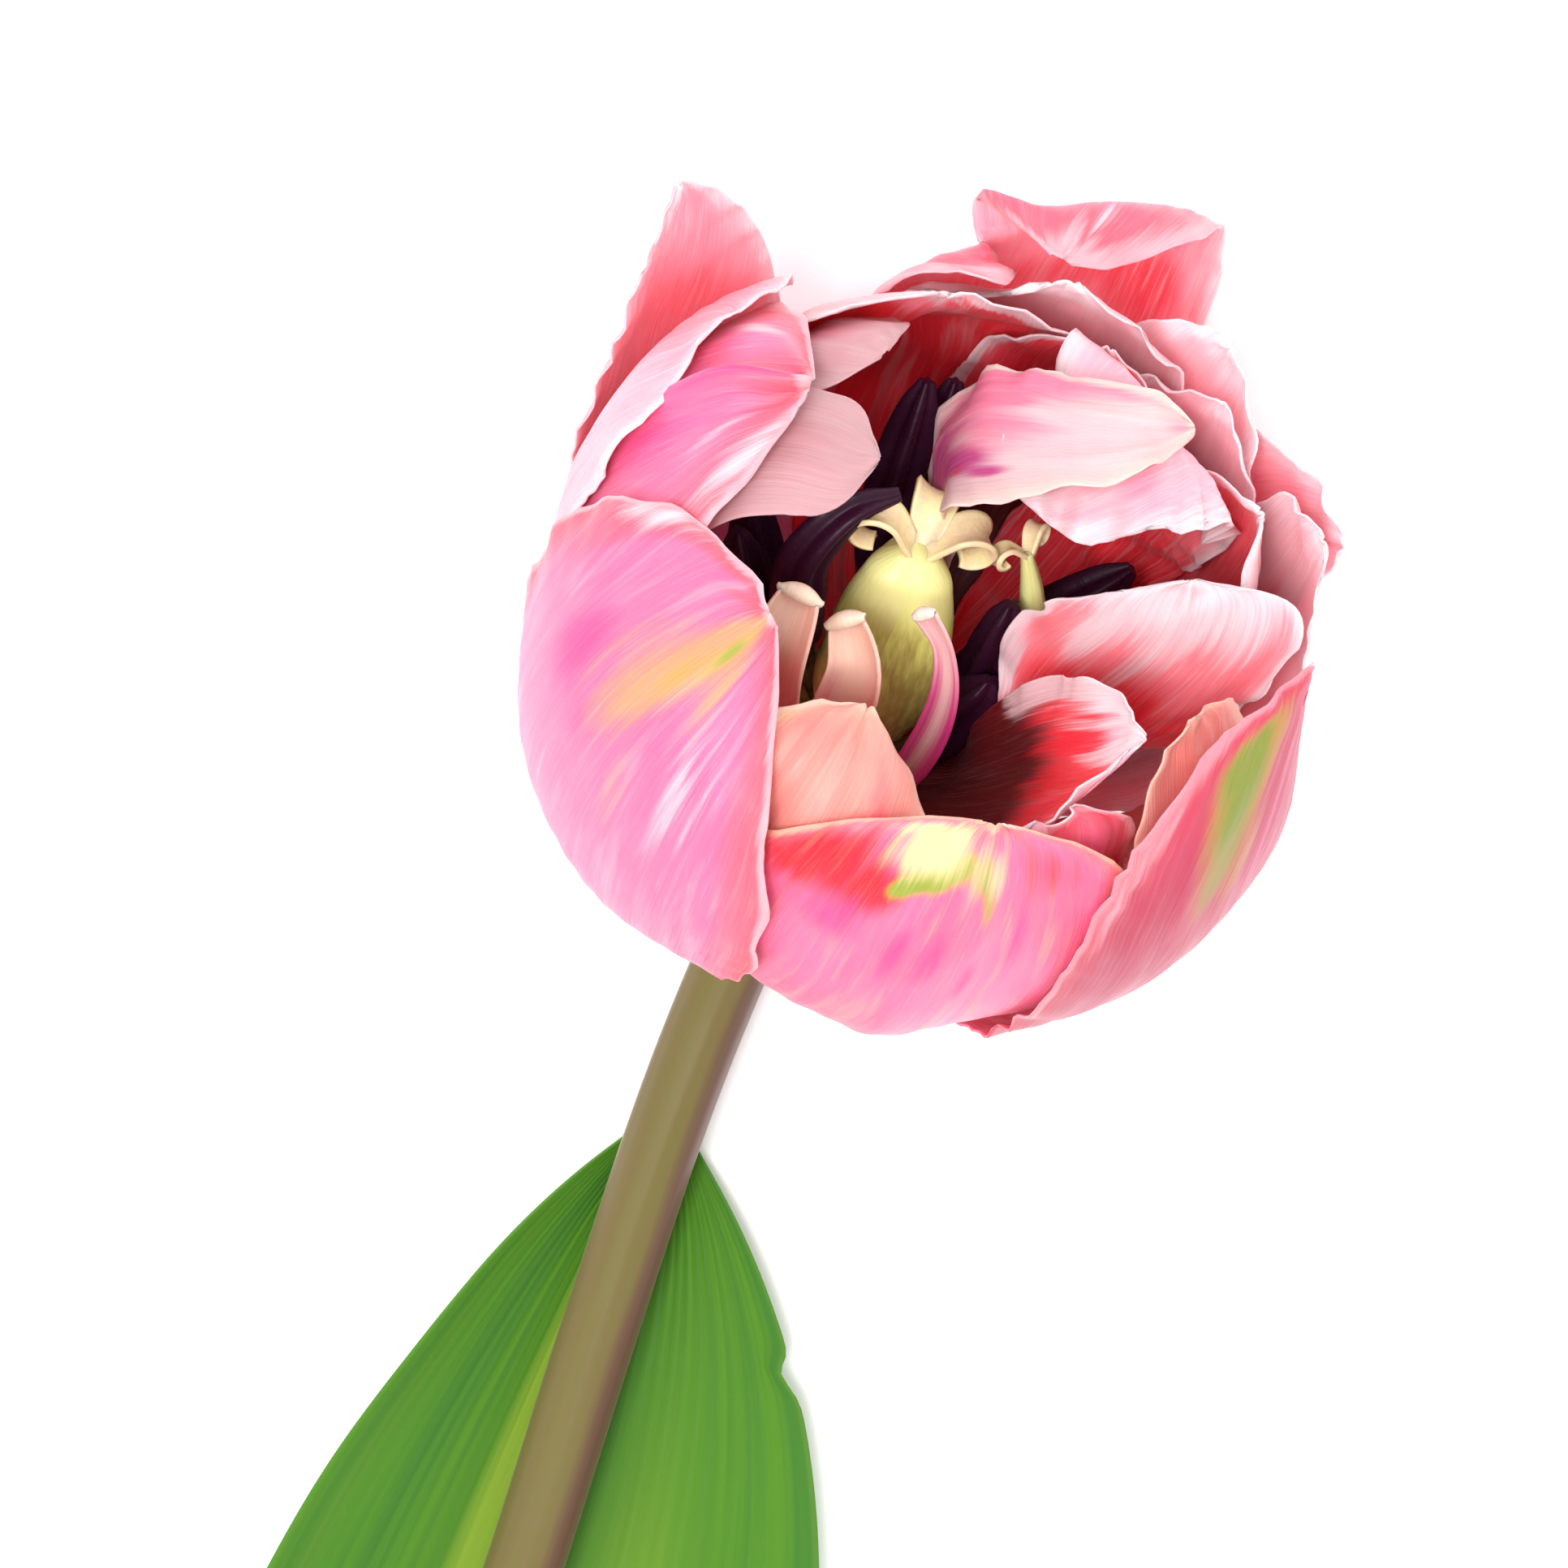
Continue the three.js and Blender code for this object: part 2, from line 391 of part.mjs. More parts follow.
// Move the round bodies clear of the pistil, the petals and each other
function clear(faces, rounds = 60) {
  const paths = rods.map(([, points, steps]) => line(points, steps));
  const pts = faces.flatMap(({ rows }) => {
    const n = normals(rows);
    const out = [];
    for (let i = 0; i < rows.length - 1; i++) {
      for (let j = 0; j < rows[0].length - 1; j++) {
        for (const u of [0, 0.25, 0.5, 0.75, 1]) {
          for (const v of [0, 0.33, 0.67, 1]) {
            const mix = (g) => [0, 1, 2].map((k) => (g[i][j][k] * (1 - u) + g[i + 1][j][k] * u) * (1 - v)
              + (g[i][j + 1][k] * (1 - u) + g[i + 1][j + 1][k] * u) * v);
            out.push([mix(rows), unit(mix(n))]);
          }
        }
      }
    }
    return out;
  });
  for (let round = 0; round < rounds; round++) {
    paths.forEach((path, a) => {
      const move = path.map(() => [0, 0, 0]);
      path.forEach((p, i) => {
        const r = rods[a][3][i] + 0.5;
        const push = (from, reach) => {
          const d = sub(p, from);
          const l = Math.hypot(...d);
          if (l < reach && l > 1e-6) for (let k = 0; k < 3; k++) move[i][k] += (d[k] / l) * (reach - l) * 0.5;
        };
        pistilPath.forEach((q, k) => push(q, pistilRadii[k] * 1.16 + r));
        pistilPath.slice(1).forEach((q, k) => {
          push(add(q, pistilPath[k]).map((v) => v / 2), (pistilRadii[k] + pistilRadii[k + 1]) * 0.58 + r);
        });
        paths.forEach((other, b) => {
          if (a === b) return;
          other.forEach((q, k) => push(q, rods[b][3][k] + r));
          other.slice(1).forEach((q, k) => {
            push(add(q, other[k]).map((v) => v / 2), (rods[b][3][k] + rods[b][3][k + 1]) / 2 + r);
          });
        });
        let [best, near] = [(r + 0.45) ** 2, null];
        for (const q of pts) {
          const l = (p[0] - q[0][0]) ** 2 + (p[1] - q[0][1]) ** 2 + (p[2] - q[0][2]) ** 2;
          if (l < best) { best = l; near = q; }
        }
        if (near) push(near[0], r + 0.45);
      });
      path.forEach((p, i) => {
        const around = [move[i - 1] ?? move[i], move[i], move[i + 1] ?? move[i]];
        for (let k = 0; k < 3; k++) p[k] += (around[0][k] + 2 * around[1][k] + around[2][k]) / 4;
        p[2] = Math.max(p[2], receptacleTop + 0.5);
      });
    });
  }
  return paths;
}

function mesh(name, { points, faces }, colour, rough = 0.6) {
  const geometry = new THREE.BufferGeometry();
  geometry.setAttribute("position", new THREE.Float32BufferAttribute(points.flat(), 3));
  geometry.setIndex(faces.flat());
  geometry.translate(-middle[0], -middle[1], 0);
  const paint = new THREE.MeshStandardMaterial({ color: colour, roughness: rough, metalness: 0 });
  const node = new THREE.Mesh(geometry, paint);
  node.name = name;
  node.material.name = name;
  return node;
}

// Cut a body off at the table, which leaves a flat spot to rest on
const wasm = await Module();
wasm.setup();
function rested({ points, faces }) {
  const solid = new wasm.Manifold(new wasm.Mesh({
    numProp: 3, vertProperties: new Float32Array(points.flat()), triVerts: new Uint32Array(faces.flat()),
  })).trimByPlane([0, 0, 1], 0).getMesh();
  const [v, t] = [solid.vertProperties, solid.triVerts];
  return {
    points: Array.from({ length: v.length / 3 }, (_, i) => [v[3 * i], v[3 * i + 1], v[3 * i + 2]]),
    faces: Array.from({ length: t.length / 3 }, (_, i) => [t[3 * i], t[3 * i + 1], t[3 * i + 2]]),
  };
}
const placed = ({ points, faces }) => ({ points: points.map(inFlower), faces });

function stemLine() {
  const neck = (k) => add(centre, axis, k);
  const way = [[cutEnd, -1.2, stemLow / 2], [cutEnd + 22, -1.4, stemBed - 0.1], [-200, -1.2, stemBed],
    [-155, -0.9, stemBed], [-110, -0.5, stemBed], [-76, 0.2, stemBed], [-50, 0.4, stemBed], [-31, -0.4, stemBed + 0.2],
    [-19, -1.5, stemBed + 1.5], [-10, -2.6, stemBed + 4.6], neck(-5), neck(0), neck(receptacleTop)];
  const f = Array.from({ length: 27 }, (_, i) => i / 26);
  const path = line(way, f);
  const radii = f.map((t, i) => {
    const r = (stemLow * (1 - t) + stemNeck * t) / 2;
    const rest = f.length - 1 - i;
    return rest < 3 ? receptacleRadius * [0.92, 1, 1][rest] : r;
  });
  const at = (x) => {
    let i = 1;
    while (i < path.length - 1 && path[i][0] < x) i++;
    const u = clamp((x - path[i - 1][0]) / (path[i][0] - path[i - 1][0]), 0, 1);
    return [...path[i], radii[i]].map((v, k) => (k < 3 ? path[i - 1][k] : radii[i - 1]) * (1 - u) + v * u);
  };
  return { path, radii, at };
}

function leaf(stem) {
  const rows = 18;
  const half = 5;
  const face = [];
  for (let i = 0; i < rows; i++) {
    const t = i / (rows - 1);
    const x = leafBase + (leafTip - leafBase) * t;
    const tipFade = 1 - smooth(t, 0.85, 1);
    const clasp = 1 - smooth(t, 0, 0.2);
    const row = [];
    for (let j = -half; j <= half; j++) {
      const s = j / half;
      const [reach, peak] = j > 0 ? [34, 0.35] : [43, 0.52];
      const taper = Math.max(1 - clamp((t - peak) / (1 - peak), 0, 1) ** 2, 0) ** 0.8;
      const full = (0.15 + 0.85 * smooth(t, -0.06, peak)) * taper;
      const b = Math.max(reach * full, 0.9);
      const slant = (6 + 24 * clasp + 10 * (1 - tipFade)) * rad;
      const bend = (10 + 30 * clasp) * rad;
      let [y, z] = [0, 0];
      for (let k = 1; k <= Math.abs(j); k++) {
        const th = k === 1 && clasp < 0.1 ? 0 : slant + bend * (k - 0.5) / half;
        y += Math.cos(th) * b / half;
        z += Math.sin(th) * b / half;
      }
      const fold = j > 0 ? 2.2 * s ** 4 * smooth(t, 0.15, 0.4) * tipFade : 0;
      const ripple = 0.9 * s * s * Math.sin(9 * t + (j > 0 ? 0.4 : 2.2)) * smooth(t, 0.2, 0.4) * tipFade;
      const p = [x, Math.sign(j) * y + 0.8 - 2 * t * (1 - t), leafThickness / 2 + z + fold + Math.abs(ripple)];
      const q = stem.at(x);
      const l = Math.hypot(p[1] - q[1], p[2] - q[2]);
      const keep = q[3] + leafThickness / 2 + 0.95;
      if (l < keep && j) {
        p[1] = q[1] + (p[1] - q[1]) * keep / l;
        p[2] = q[2] + (p[2] - q[2]) * keep / l;
      }
      p[2] = Math.max(p[2], leafThickness / 2) - leafPress;
      row.push(p);
    }
    face.push(row);
  }
  return blade(face.reverse(), leafThickness);
}

const flower = new THREE.Group();
flower.name = "double_tulip";
const faces = part(petals.map(([name, d]) => ({ name, rows: petalFace(d) })));
for (const { name, rows } of faces) {
  const body = placed(blade(rows, bladeThickness));
  const touches = body.points.some((p) => p[2] < 0);
  flower.add(mesh(`petal_${name}`, touches ? rested(body) : body, 0xee7f9d));
}
const paths = clear(faces);
rods.forEach(([name, , , radii, sides, section, colour], i) => {
  flower.add(mesh(name, placed(sweep(paths[i], radii, sides, section)), colour));
});
const lobes = (a, i) => 1 + 0.014 * i * Math.cos(3 * a);
flower.add(mesh("pistil", placed(sweep(pistilPath, pistilRadii, 15, lobes)), 0xb5be62));
const stem = stemLine();
flower.add(mesh("stem", sweep(stem.path, stem.radii, 18), 0x8a835a));
flower.add(mesh("leaf", rested(leaf(stem)), 0x4f9a35));

export default flower;
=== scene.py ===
"""Double tulip: one cut flower lying on its side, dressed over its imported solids. Metres, +Z up."""

import math

import bpy
import numpy as np
from bpy.props import FloatProperty, FloatVectorProperty, PointerProperty
from mathutils import Matrix, Vector
from mathutils.kdtree import KDTree


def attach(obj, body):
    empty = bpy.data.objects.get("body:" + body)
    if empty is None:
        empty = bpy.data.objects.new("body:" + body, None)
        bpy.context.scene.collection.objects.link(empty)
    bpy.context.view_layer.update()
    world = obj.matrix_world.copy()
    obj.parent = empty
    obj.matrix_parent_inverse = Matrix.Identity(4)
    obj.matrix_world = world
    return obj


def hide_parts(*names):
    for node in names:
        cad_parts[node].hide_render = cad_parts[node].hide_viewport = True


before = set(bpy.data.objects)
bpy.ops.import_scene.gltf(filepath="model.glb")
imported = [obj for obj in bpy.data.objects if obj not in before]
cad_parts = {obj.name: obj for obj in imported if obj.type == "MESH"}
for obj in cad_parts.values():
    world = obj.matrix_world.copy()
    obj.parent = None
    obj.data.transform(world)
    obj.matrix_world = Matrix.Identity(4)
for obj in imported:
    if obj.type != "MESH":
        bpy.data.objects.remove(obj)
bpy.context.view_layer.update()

bl_info = {
    "name": "Double Tulip",
    "version": (1, 0, 0),
    "blender": (4, 5, 0),
    "location": "View3D > Sidebar > Tulip",
    "description": "Builds a cut double tulip with petals, stamens, pistil, stem and leaf",
    "category": "Add Mesh",
}

# Flower as a whole, in millimetres and degrees, the same values as in the part's source
RECEPTACLE_HEIGHT = 17.6
RECEPTACLE_SIDE = -4.0
BLOOM_ELEVATION = 44.25
BLOOM_HEADING = -9.88
BLOOM_TURN = 203.6
RECEPTACLE_RADIUS = 5.4
RECEPTACLE_TOP = 7.0
CLEARANCE = 1.25
TABLE = 0.25
MIDDLE = (-93.5, -9.0)

# Petal faces: how much closer the rows lie towards the tip, least width as a share of half, what the waves of the
# two margins are apart as a share of a wave, and width of the middle crease as a share of the half width
ROW_CROWDING = 1.3
LEAST_WIDTH = 0.06
MARGIN_OFFSET = 0.27
CREASE_WIDTH = 0.13

# Parting of the petals: rounds in all and rounds that aren't evened out at the end, how far a neighbour is looked
# for, how far beside a point and how far off its face it may lie, and the longest push, in millimetres
PARTING_ROUNDS = 46
SHARP_ROUNDS = 12
SEARCH = 6
BESIDE = 3
DEEPEST = 5
LONGEST_PUSH = 1.2

# Parting of the round pieces: rounds, gap to each other and to petals in millimetres, and room round the pistil
ROD_ROUNDS = 60
ROD_GAP = 0.5
PETAL_GAP = 0.45
PISTIL_ROOM = 1.16

# Petals from the outermost to the innermost, in millimetres and degrees: az is the place round the bloom, mid the
# middle line as (distance from the axis, height along it, turn), half the half width, root and peak the width at the
# root and the place of the widest, blunt and point the tip's roundness, side the share of half on each side, cup how
# much the blade bends from root to tip, crease a middle groove, wave a margin wave, aim where the width points, skew a
# slant, waist a narrow root, and grid the rows and columns of the solid's face
PETALS = {
    "outer_right": dict(
        az=318, mid=[(5.9, 0), (22, -1), (39, 9), (46, 28), (44, 48), (37, 65, 16)], half=24,
        root=0.13, peak=0.52, blunt=2, point=1.5, cup=(15, 42, 42), grid=(12, 10)),
    "outer_left": dict(
        az=213, mid=[(5.9, 0), (22, -1), (39, 9), (44.6, 27), (41.5, 46), (28.5, 57)], half=29,
        root=0.12, peak=0.58, blunt=(3, 1.7), point=(2, 1.3), side=(1, 0.92), cup=(15, 46, 55), grid=(12, 10)),
    "outer_back": dict(
        az=72, mid=[(5.9, 0), (22, -1), (39, 9), (48, 28), (49.5, 46), (47, 57), (41, 62.5, 2), (35, 60, 4)],
        half=22.5, root=0.13, peak=0.57, blunt=(1.9, 4.2), point=(1.4, 2.4), side=(0.95, 1.16), cup=(15, 24, 38, 40),
        aim=(-0.96, -0.24, -0.14), grid=(13, 10), wave=(0.7, 2.6, 0.1)),
    "spike": dict(
        az=137, mid=[(5.9, 0), (21, -0.6), (37, 9), (44.5, 27), (46.5, 46), (49, 62)], half=22,
        root=0.13, peak=0.5, blunt=(1.9, 1.2), point=(1.4, 1.2), side=(1, 0.62), cup=(15, 34, 24), grid=(11, 8)),
    "front": dict(
        az=270, mid=[(5.9, 1.6), (21, 0.8), (36, 10), (44, 27), (42, 46), (36.5, 57)], half=28,
        root=0.12, peak=0.6, blunt=2.6, point=1.8, cup=(15, 42, 36), crease=0.9, grid=(12, 10)),
    "right": dict(
        az=22, mid=[(5.9, 1.6), (21, 0.8), (36, 10), (43, 27), (43.5, 42, -3), (43.5, 54, -13)], half=20,
        root=0.15, peak=0.52, blunt=1.9, point=1.4, cup=(15, 34, 26), grid=(11, 8)),
    "back_right": dict(
        az=44, mid=[(5.9, 3.2), (19, 2.6), (34, 11), (42, 27), (42.5, 44), (41.5, 57)], half=15,
        root=0.2, peak=0.6, blunt=2.6, point=1.8, cup=(15, 28, 24), grid=(10, 6), wave=(0.6, 2.5, 0.3)),
    "left_rim": dict(
        az=146, mid=[(5.9, 1.6), (20, 1), (35, 10), (42, 27), (41, 46), (35.5, 58)], half=22,
        root=0.14, peak=0.65, blunt=3, point=2.2, side=(1, 0.85), cup=(15, 34, 34), grid=(11, 8)),
    "back_rim": dict(
        az=72, mid=[(5.9, 1.6), (20, 1), (35, 10), (42, 27), (40, 46), (34, 58)], half=22,
        root=0.14, peak=0.65, blunt=3, point=2.2, side=(1, 0.85), cup=(15, 34, 34), grid=(11, 8),
        wave=(0.6, 2.4, 0.4)),
    "right_mid": dict(
        az=7, mid=[(5.9, 3.2), (17, 4), (32, 12), (40, 28), (41, 45), (39.5, 57)], half=15,
        root=0.2, peak=0.62, blunt=2.6, point=2, cup=(15, 24, 20), grid=(10, 6)),
    "right_rim": dict(
        az=38, mid=[(5.9, 4.8), (18, 4), (32, 12), (39.5, 27), (39, 45), (36, 56)], half=14,
        root=0.2, peak=0.62, blunt=2.8, point=2, cup=(15, 26, 26), grid=(10, 6), wave=(0.6, 2.2, 0)),
    "left_fold": dict(
        az=162, mid=[(5.9, 3.2), (18, 3), (33, 12), (40, 28), (39, 46), (33, 58), (23.5, 64, -4)], half=25,
        root=0.13, peak=0.66, blunt=(3.2, 2), point=(2.2, 1.5), side=(0.95, 0.82), cup=(15, 38, 45),
        crease=1.2, grid=(13, 10)),
    "back_red": dict(
        az=99, mid=[(5.9, 3.2), (18, 3), (31, 12), (38, 28), (35, 46), (28, 59)], half=22,
        root=0.14, peak=0.7, blunt=3.4, point=2.6, cup=(15, 36, 36), grid=(11, 8)),
    "front_gap": dict(
        az=322, mid=[(5.9, 3.2), (17, 5), (29, 13), (36, 28), (35, 43), (30, 54)], half=13,
        root=0.22, peak=0.65, blunt=3, point=2, cup=(10, 22, 25), grid=(10, 6)),
    "front_in": dict(
        az=284, mid=[(5.9, 3.2), (17, 4), (30, 12), (38, 28), (37, 41), (32, 50)], half=15.5,
        root=0.17, peak=0.7, blunt=3, point=2, cup=(10, 28, 30), grid=(10, 8), wave=(0.5, 2.6, 0.2)),
    "front_left_in": dict(
        az=243, mid=[(5.9, 3.2), (17, 4), (30, 12), (38, 28), (39, 42), (34, 50), (22.5, 49, -2)], half=15,
        root=0.2, peak=0.68, blunt=2.2, point=1.6, cup=(10, 24, 20), crease=1.3, grid=(11, 8)),
    "back_small": dict(
        az=60, mid=[(5.9, 4.8), (17, 5), (29, 13), (36, 28), (35, 44), (31.5, 55)], half=14,
        root=0.2, peak=0.65, blunt=2.8, point=2, cup=(15, 28, 28), grid=(10, 6), wave=(0.6, 2.4, 0.1)),
    "right_in": dict(
        az=12, mid=[(5.9, 4.8), (15, 6), (27, 14), (35, 29), (36, 45), (33, 57)], half=14,
        root=0.2, peak=0.65, blunt=3, point=2.2, cup=(12, 40, 70), grid=(11, 8), wave=(0.5, 2.7, 0.3)),
    "left_curl": dict(
        az=166, mid=[(5.9, 4.8), (14, 7), (26, 16), (33, 32), (32, 48), (25, 59), (13, 61)], half=9.5,
        root=0.24, peak=0.78, blunt=5, point=3.2, side=(0.74, 1), cup=(10, 20, 20), grid=(12, 6)),
    "white_tip": dict(
        az=129, mid=[(5.9, 4.8), (14, 7), (26, 15), (33, 30), (33, 46), (28, 57), (21, 61, -3)], half=13,
        root=0.22, peak=0.7, blunt=3, point=2.4, cup=(10, 20, 30), grid=(11, 6)),
    "front_right_in": dict(
        az=303, mid=[(6.2, 4.8), (11, 13), (17, 26), (22, 39), (26.5, 49), (29, 55, 6)], half=15,
        root=0.2, peak=0.7, blunt=3, point=2.2, side=(1, 0.66), cup=(10, 26, 50), aim=(0.1, 1, 0),
        grid=(10, 8)),
    "partition": dict(
        az=340, mid=[(6.2, 4.8), (13, 14), (19, 28), (23, 42, 3), (24.5, 50, 8), (24, 55, 16)], half=14,
        root=0.2, waist=2.6, peak=0.74, blunt=4, point=3, cup=(10, 10, 8), aim=(0.966, -0.26, 0), skew=0.25,
        grid=(11, 8)),
    "hood": dict(
        az=40, mid=[(6.2, 6.4), (15, 8), (26, 15), (32, 30), (33, 44), (29, 55), (20, 59), (7, 55, 18)], half=14,
        root=0.2, peak=0.72, blunt=2.6, point=2, cup=(10, 20, 14), grid=(13, 8), wave=(0.9, 3.2, 0.2)),
    "petaloid": dict(
        az=95, mid=[(6.2, 7, -30), (8, 16, -26), (12, 32, -16), (17.5, 46, -5), (16, 55, -25), (18.5, 60, -52),
                    (27, 61, -64)], half=10.5, root=0.12, waist=7, peak=0.68, blunt=(1.3, 3), point=(1.2, 2.2),
        side=(1.25, 0.6), cup=(5, 8, 10), aim=(0.25, 1, 0), grid=(12, 6)),
}

# Stamens as (distance, height, turn) of foot, middle and tip, and the other round pieces inside the bloom
STAMENS = {
    "back_left": [(4.1, 7.5, 98), (9, 18, 100), (17, 31, 99), (25, 46, 96)],
    "back": [(4.1, 7.5, 78), (10, 17, 82), (19, 30, 86), (27, 44, 87)],
    "left_high": [(4.1, 7.5, 140), (8.5, 18, 150), (9.5, 28, 170), (8, 44, 118)],
    "left_low": [(4.1, 7.5, 165), (10, 16, 168), (17, 24, 168), (23, 36, 160)],
    "left_far": [(4.1, 7.5, 120), (11, 15, 135), (19, 23, 142), (24, 34, 145)],
    "right_high": [(4.1, 7.5, 45), (10, 16, 30), (16, 25, 24), (26, 38, 22)],
    "right_low": [(4.1, 7.5, 20), (10, 15, 16), (16, 22, 12), (25, 33, 14)],
    "front_right": [(4.1, 7.5, 336), (8.5, 15, 350), (10, 25, 352), (9.5, 39, 12)],
    "front_low": [(4.1, 7.5, 306), (8, 14, 316), (10.5, 22, 325), (10.5, 33, 335)],
}
ANTHER_STEPS = [0, 0.12, 0.3, 0.42, 0.52, 0.66, 0.8, 0.92, 1]
ANTHER_RADII = [0.6, 0.75, 0.9, 1.2, 1.75, 2, 1.9, 1.45, 0.6]
CURL_RADII = [0.6, 0.8, 1.1, 1.4, 1.9, 2.1, 1.7, 0.9]
RODS = {
    "side_carpel": ([(4.1, -0.4, 7.6), (8.5, -1, 13), (12, 0, 21), (14, 2, 30), (12, 5.4, 38), (10, 7, 42)],
                    [0.7, 1, 1.6, 2, 2.3, 2.1, 1.6, 0.8]),
    "ribbon_petaloid": ([(0.6, -4.1, 7.6), (1.6, -9.5, 16), (2, -11.6, 24), (2.6, -9.4, 33), (1, -6.6, 40),
                         (-3, -4.4, 45)], [0.6, 0.7, 1, 1.3, 1.5, 1.4, 1.1, 0.8, 1]),
    "curl_left": ([(-3.6, -2.1, 7.6), (-9.6, -5.6, 16), (-14, -8, 26), (-17.6, -9.6, 36), (-18.6, -8.8, 44),
                   (-17.4, -5.4, 46)], CURL_RADII),
    "curl_middle": ([(-1.8, -3.7, 7.6), (-3, -10.5, 14), (-6.6, -12.6, 25), (-9, -12, 36), (-9.4, -9, 43),
                     (-11, -6, 43)], CURL_RADII),
}
PISTIL = [(0, 0, RECEPTACLE_TOP + 0.4), (-0.6, 0.4, 16), (-1.4, 2, 26), (-2, 4.6, 35), (-2.2, 5.8, 41)]
PISTIL_STEPS = [0, 0.06, 0.2, 0.4, 0.6, 0.75, 0.86, 0.93, 1]
PISTIL_RADII = [2.2, 2.9, 4.9, 6.6, 6.6, 5.8, 5.2, 5.6, 4.2]


def smooth(t, a, b):
    """Smooth step from 0 at a to 1 at b."""
    x = np.clip((np.asarray(t, float) - a) / (b - a), 0, 1)
    return x * x * (3 - 2 * x)


def unit(a):
    """Vectors of length 1 along the last axis."""
    length = np.linalg.norm(a, axis=-1, keepdims=True)
    return a / np.where(length > 0, length, 1)


def sided(value, sign):
    """Value of one side, where the two sides differ."""
    return value[0 if sign < 0 else 1] if isinstance(value, tuple) else value


def bloom_axes():
    """Across, across and along of the bloom, as rows in the flower's own frame."""
    rise, swing, turn = (math.radians(v) for v in (BLOOM_ELEVATION, BLOOM_HEADING, BLOOM_TURN))
    axis = np.array([math.cos(rise) * math.cos(swing), math.cos(rise) * math.sin(swing), math.sin(rise)])
    level = np.array([-math.sin(swing), math.cos(swing), 0])
    across = level * math.cos(turn) + np.cross(axis, level) * math.sin(turn)
    return np.stack([across, np.cross(axis, across), axis])


AXES = bloom_axes()
CENTRE = np.array([0, RECEPTACLE_SIDE, RECEPTACLE_HEIGHT])


def in_flower(points):
    """Bloom axes to the flower's own frame, in millimetres."""
    return CENTRE + np.asarray(points) @ AXES


def line(points, fractions):
    """Smooth line through points, read at fractions of its length."""
    p = np.array(points, float)
    p = np.vstack([2 * p[0] - p[1], p, 2 * p[-1] - p[-2]])
    u = (np.arange(24) / 24)[:, None]
    q = []
    for a, b, c, d in zip(p, p[1:], p[2:], p[3:]):
        q.append(b + 0.5 * u * ((c - a) + (2 * a - 5 * b + 4 * c - d) * u + (3 * b - a - 3 * c + d) * u * u))
    q = np.vstack(q + [p[-2:-1]])
    length = np.r_[0, np.cumsum(np.linalg.norm(np.diff(q[:, :3], axis=0), axis=1))]
    x = np.asarray(fractions) * length[-1]
    return np.stack([np.interp(x, length, q[:, k]) for k in range(q.shape[1])], 1)


def eased(values, t):
    """Values at even places along t, eased from one to the next."""
    x = np.asarray(t) * (len(values) - 1)
    i = np.clip(x.astype(int), 0, len(values) - 2)
    v = np.array(values, float)
    f = smooth(x - i, 0, 1)
    return v[i] * (1 - f) + v[i + 1] * f


def width_shape(t, root, waist, peak, blunt, point):
    """Half width along a petal as a share of its widest."""
    grown = root + (1 - root) * np.sin(np.clip(t / peak, 0, 1) * math.pi / 2) ** waist
    x = np.clip((t - peak) / (1 - peak), 0, 1)
    return np.where(t < peak, grown, np.maximum(1 - x**blunt, 0) ** (1 / point))


def slopes(rows):
    """Direction of a line at each of its points."""
    return unit(np.vstack([rows[1:2] - rows[:1], rows[2:] - rows[:-2], rows[-1:] - rows[-2:-1]]))


def petal_face(d):
    """Middle face of one petal: rows from root to tip, each from one margin to the other, in bloom axes."""
    rows, half = d["grid"][0], d["grid"][1] // 2
    t = 1 - (1 - np.arange(rows) / (rows - 1)) ** ROW_CROWDING
    way = []
    for r, w, *turn in d["mid"]:
        a = math.radians(d["az"] + (turn[0] if turn else 0))
        way.append((r * math.cos(a), r * math.sin(a), w, a))
    mid = line(way, t)
    ahead = slopes(mid[:, :3])
    wide = np.stack([-np.sin(mid[:, 3]), np.cos(mid[:, 3]), np.zeros(rows)], 1)
    if "aim" in d:
        f = smooth(t, 0.1, 0.7)[:, None]
        wide = wide * (1 - f) + np.array(d["aim"]) * f
    wide = unit(wide - ahead * (wide * ahead).sum(1)[:, None])
    inward = np.cross(ahead, wide)
    fade = smooth(t, 0.2, 0.5) * (1 - smooth(t, 0.93, 1))
    groove = d.get("crease", 0) * smooth(t, 0.1, 0.5) * (1 - smooth(t, 0.9, 1))
    amount, count, phase = d.get("wave", (0, 3, 0))
    out = np.zeros((rows, 2 * half + 1, 3))
    for sign in (-1, 1):
        shape = width_shape(t, d["root"], d.get("waist", 1.25), d["peak"], sided(d["blunt"], sign),
                            sided(d["point"], sign))
        b = d["half"] * sided(d.get("side", 1), sign) * np.maximum(shape, LEAST_WIDTH)
        x, y = np.zeros(rows), np.zeros(rows)
        for j in range(half + 1):
            if j:
                bend = np.radians(eased(d["cup"], t)) * (j - 0.5) / half
                x = x + np.cos(bend) * b / half
                y = y + np.sin(bend) * b / half
            s = j / half
            ripple = amount * s**2.2 * np.sin(2 * math.pi * (count * t + phase + MARGIN_OFFSET * sign)) * fade
            lift = y + ripple - groove * math.exp(-((s / CREASE_WIDTH) ** 2))
            out[:, half + sign * j] = (mid[:, :3] + wide * (sign * x)[:, None] + inward * lift[:, None]
                                       + ahead * (d.get("skew", 0) * b * sign * s)[:, None])
    return out


def grid_normals(g):
    """Normal of a face at each point of its grid."""
    a, b = np.gradient(g, axis=0), np.gradient(g, axis=1)
    return unit(np.cross(a, b))


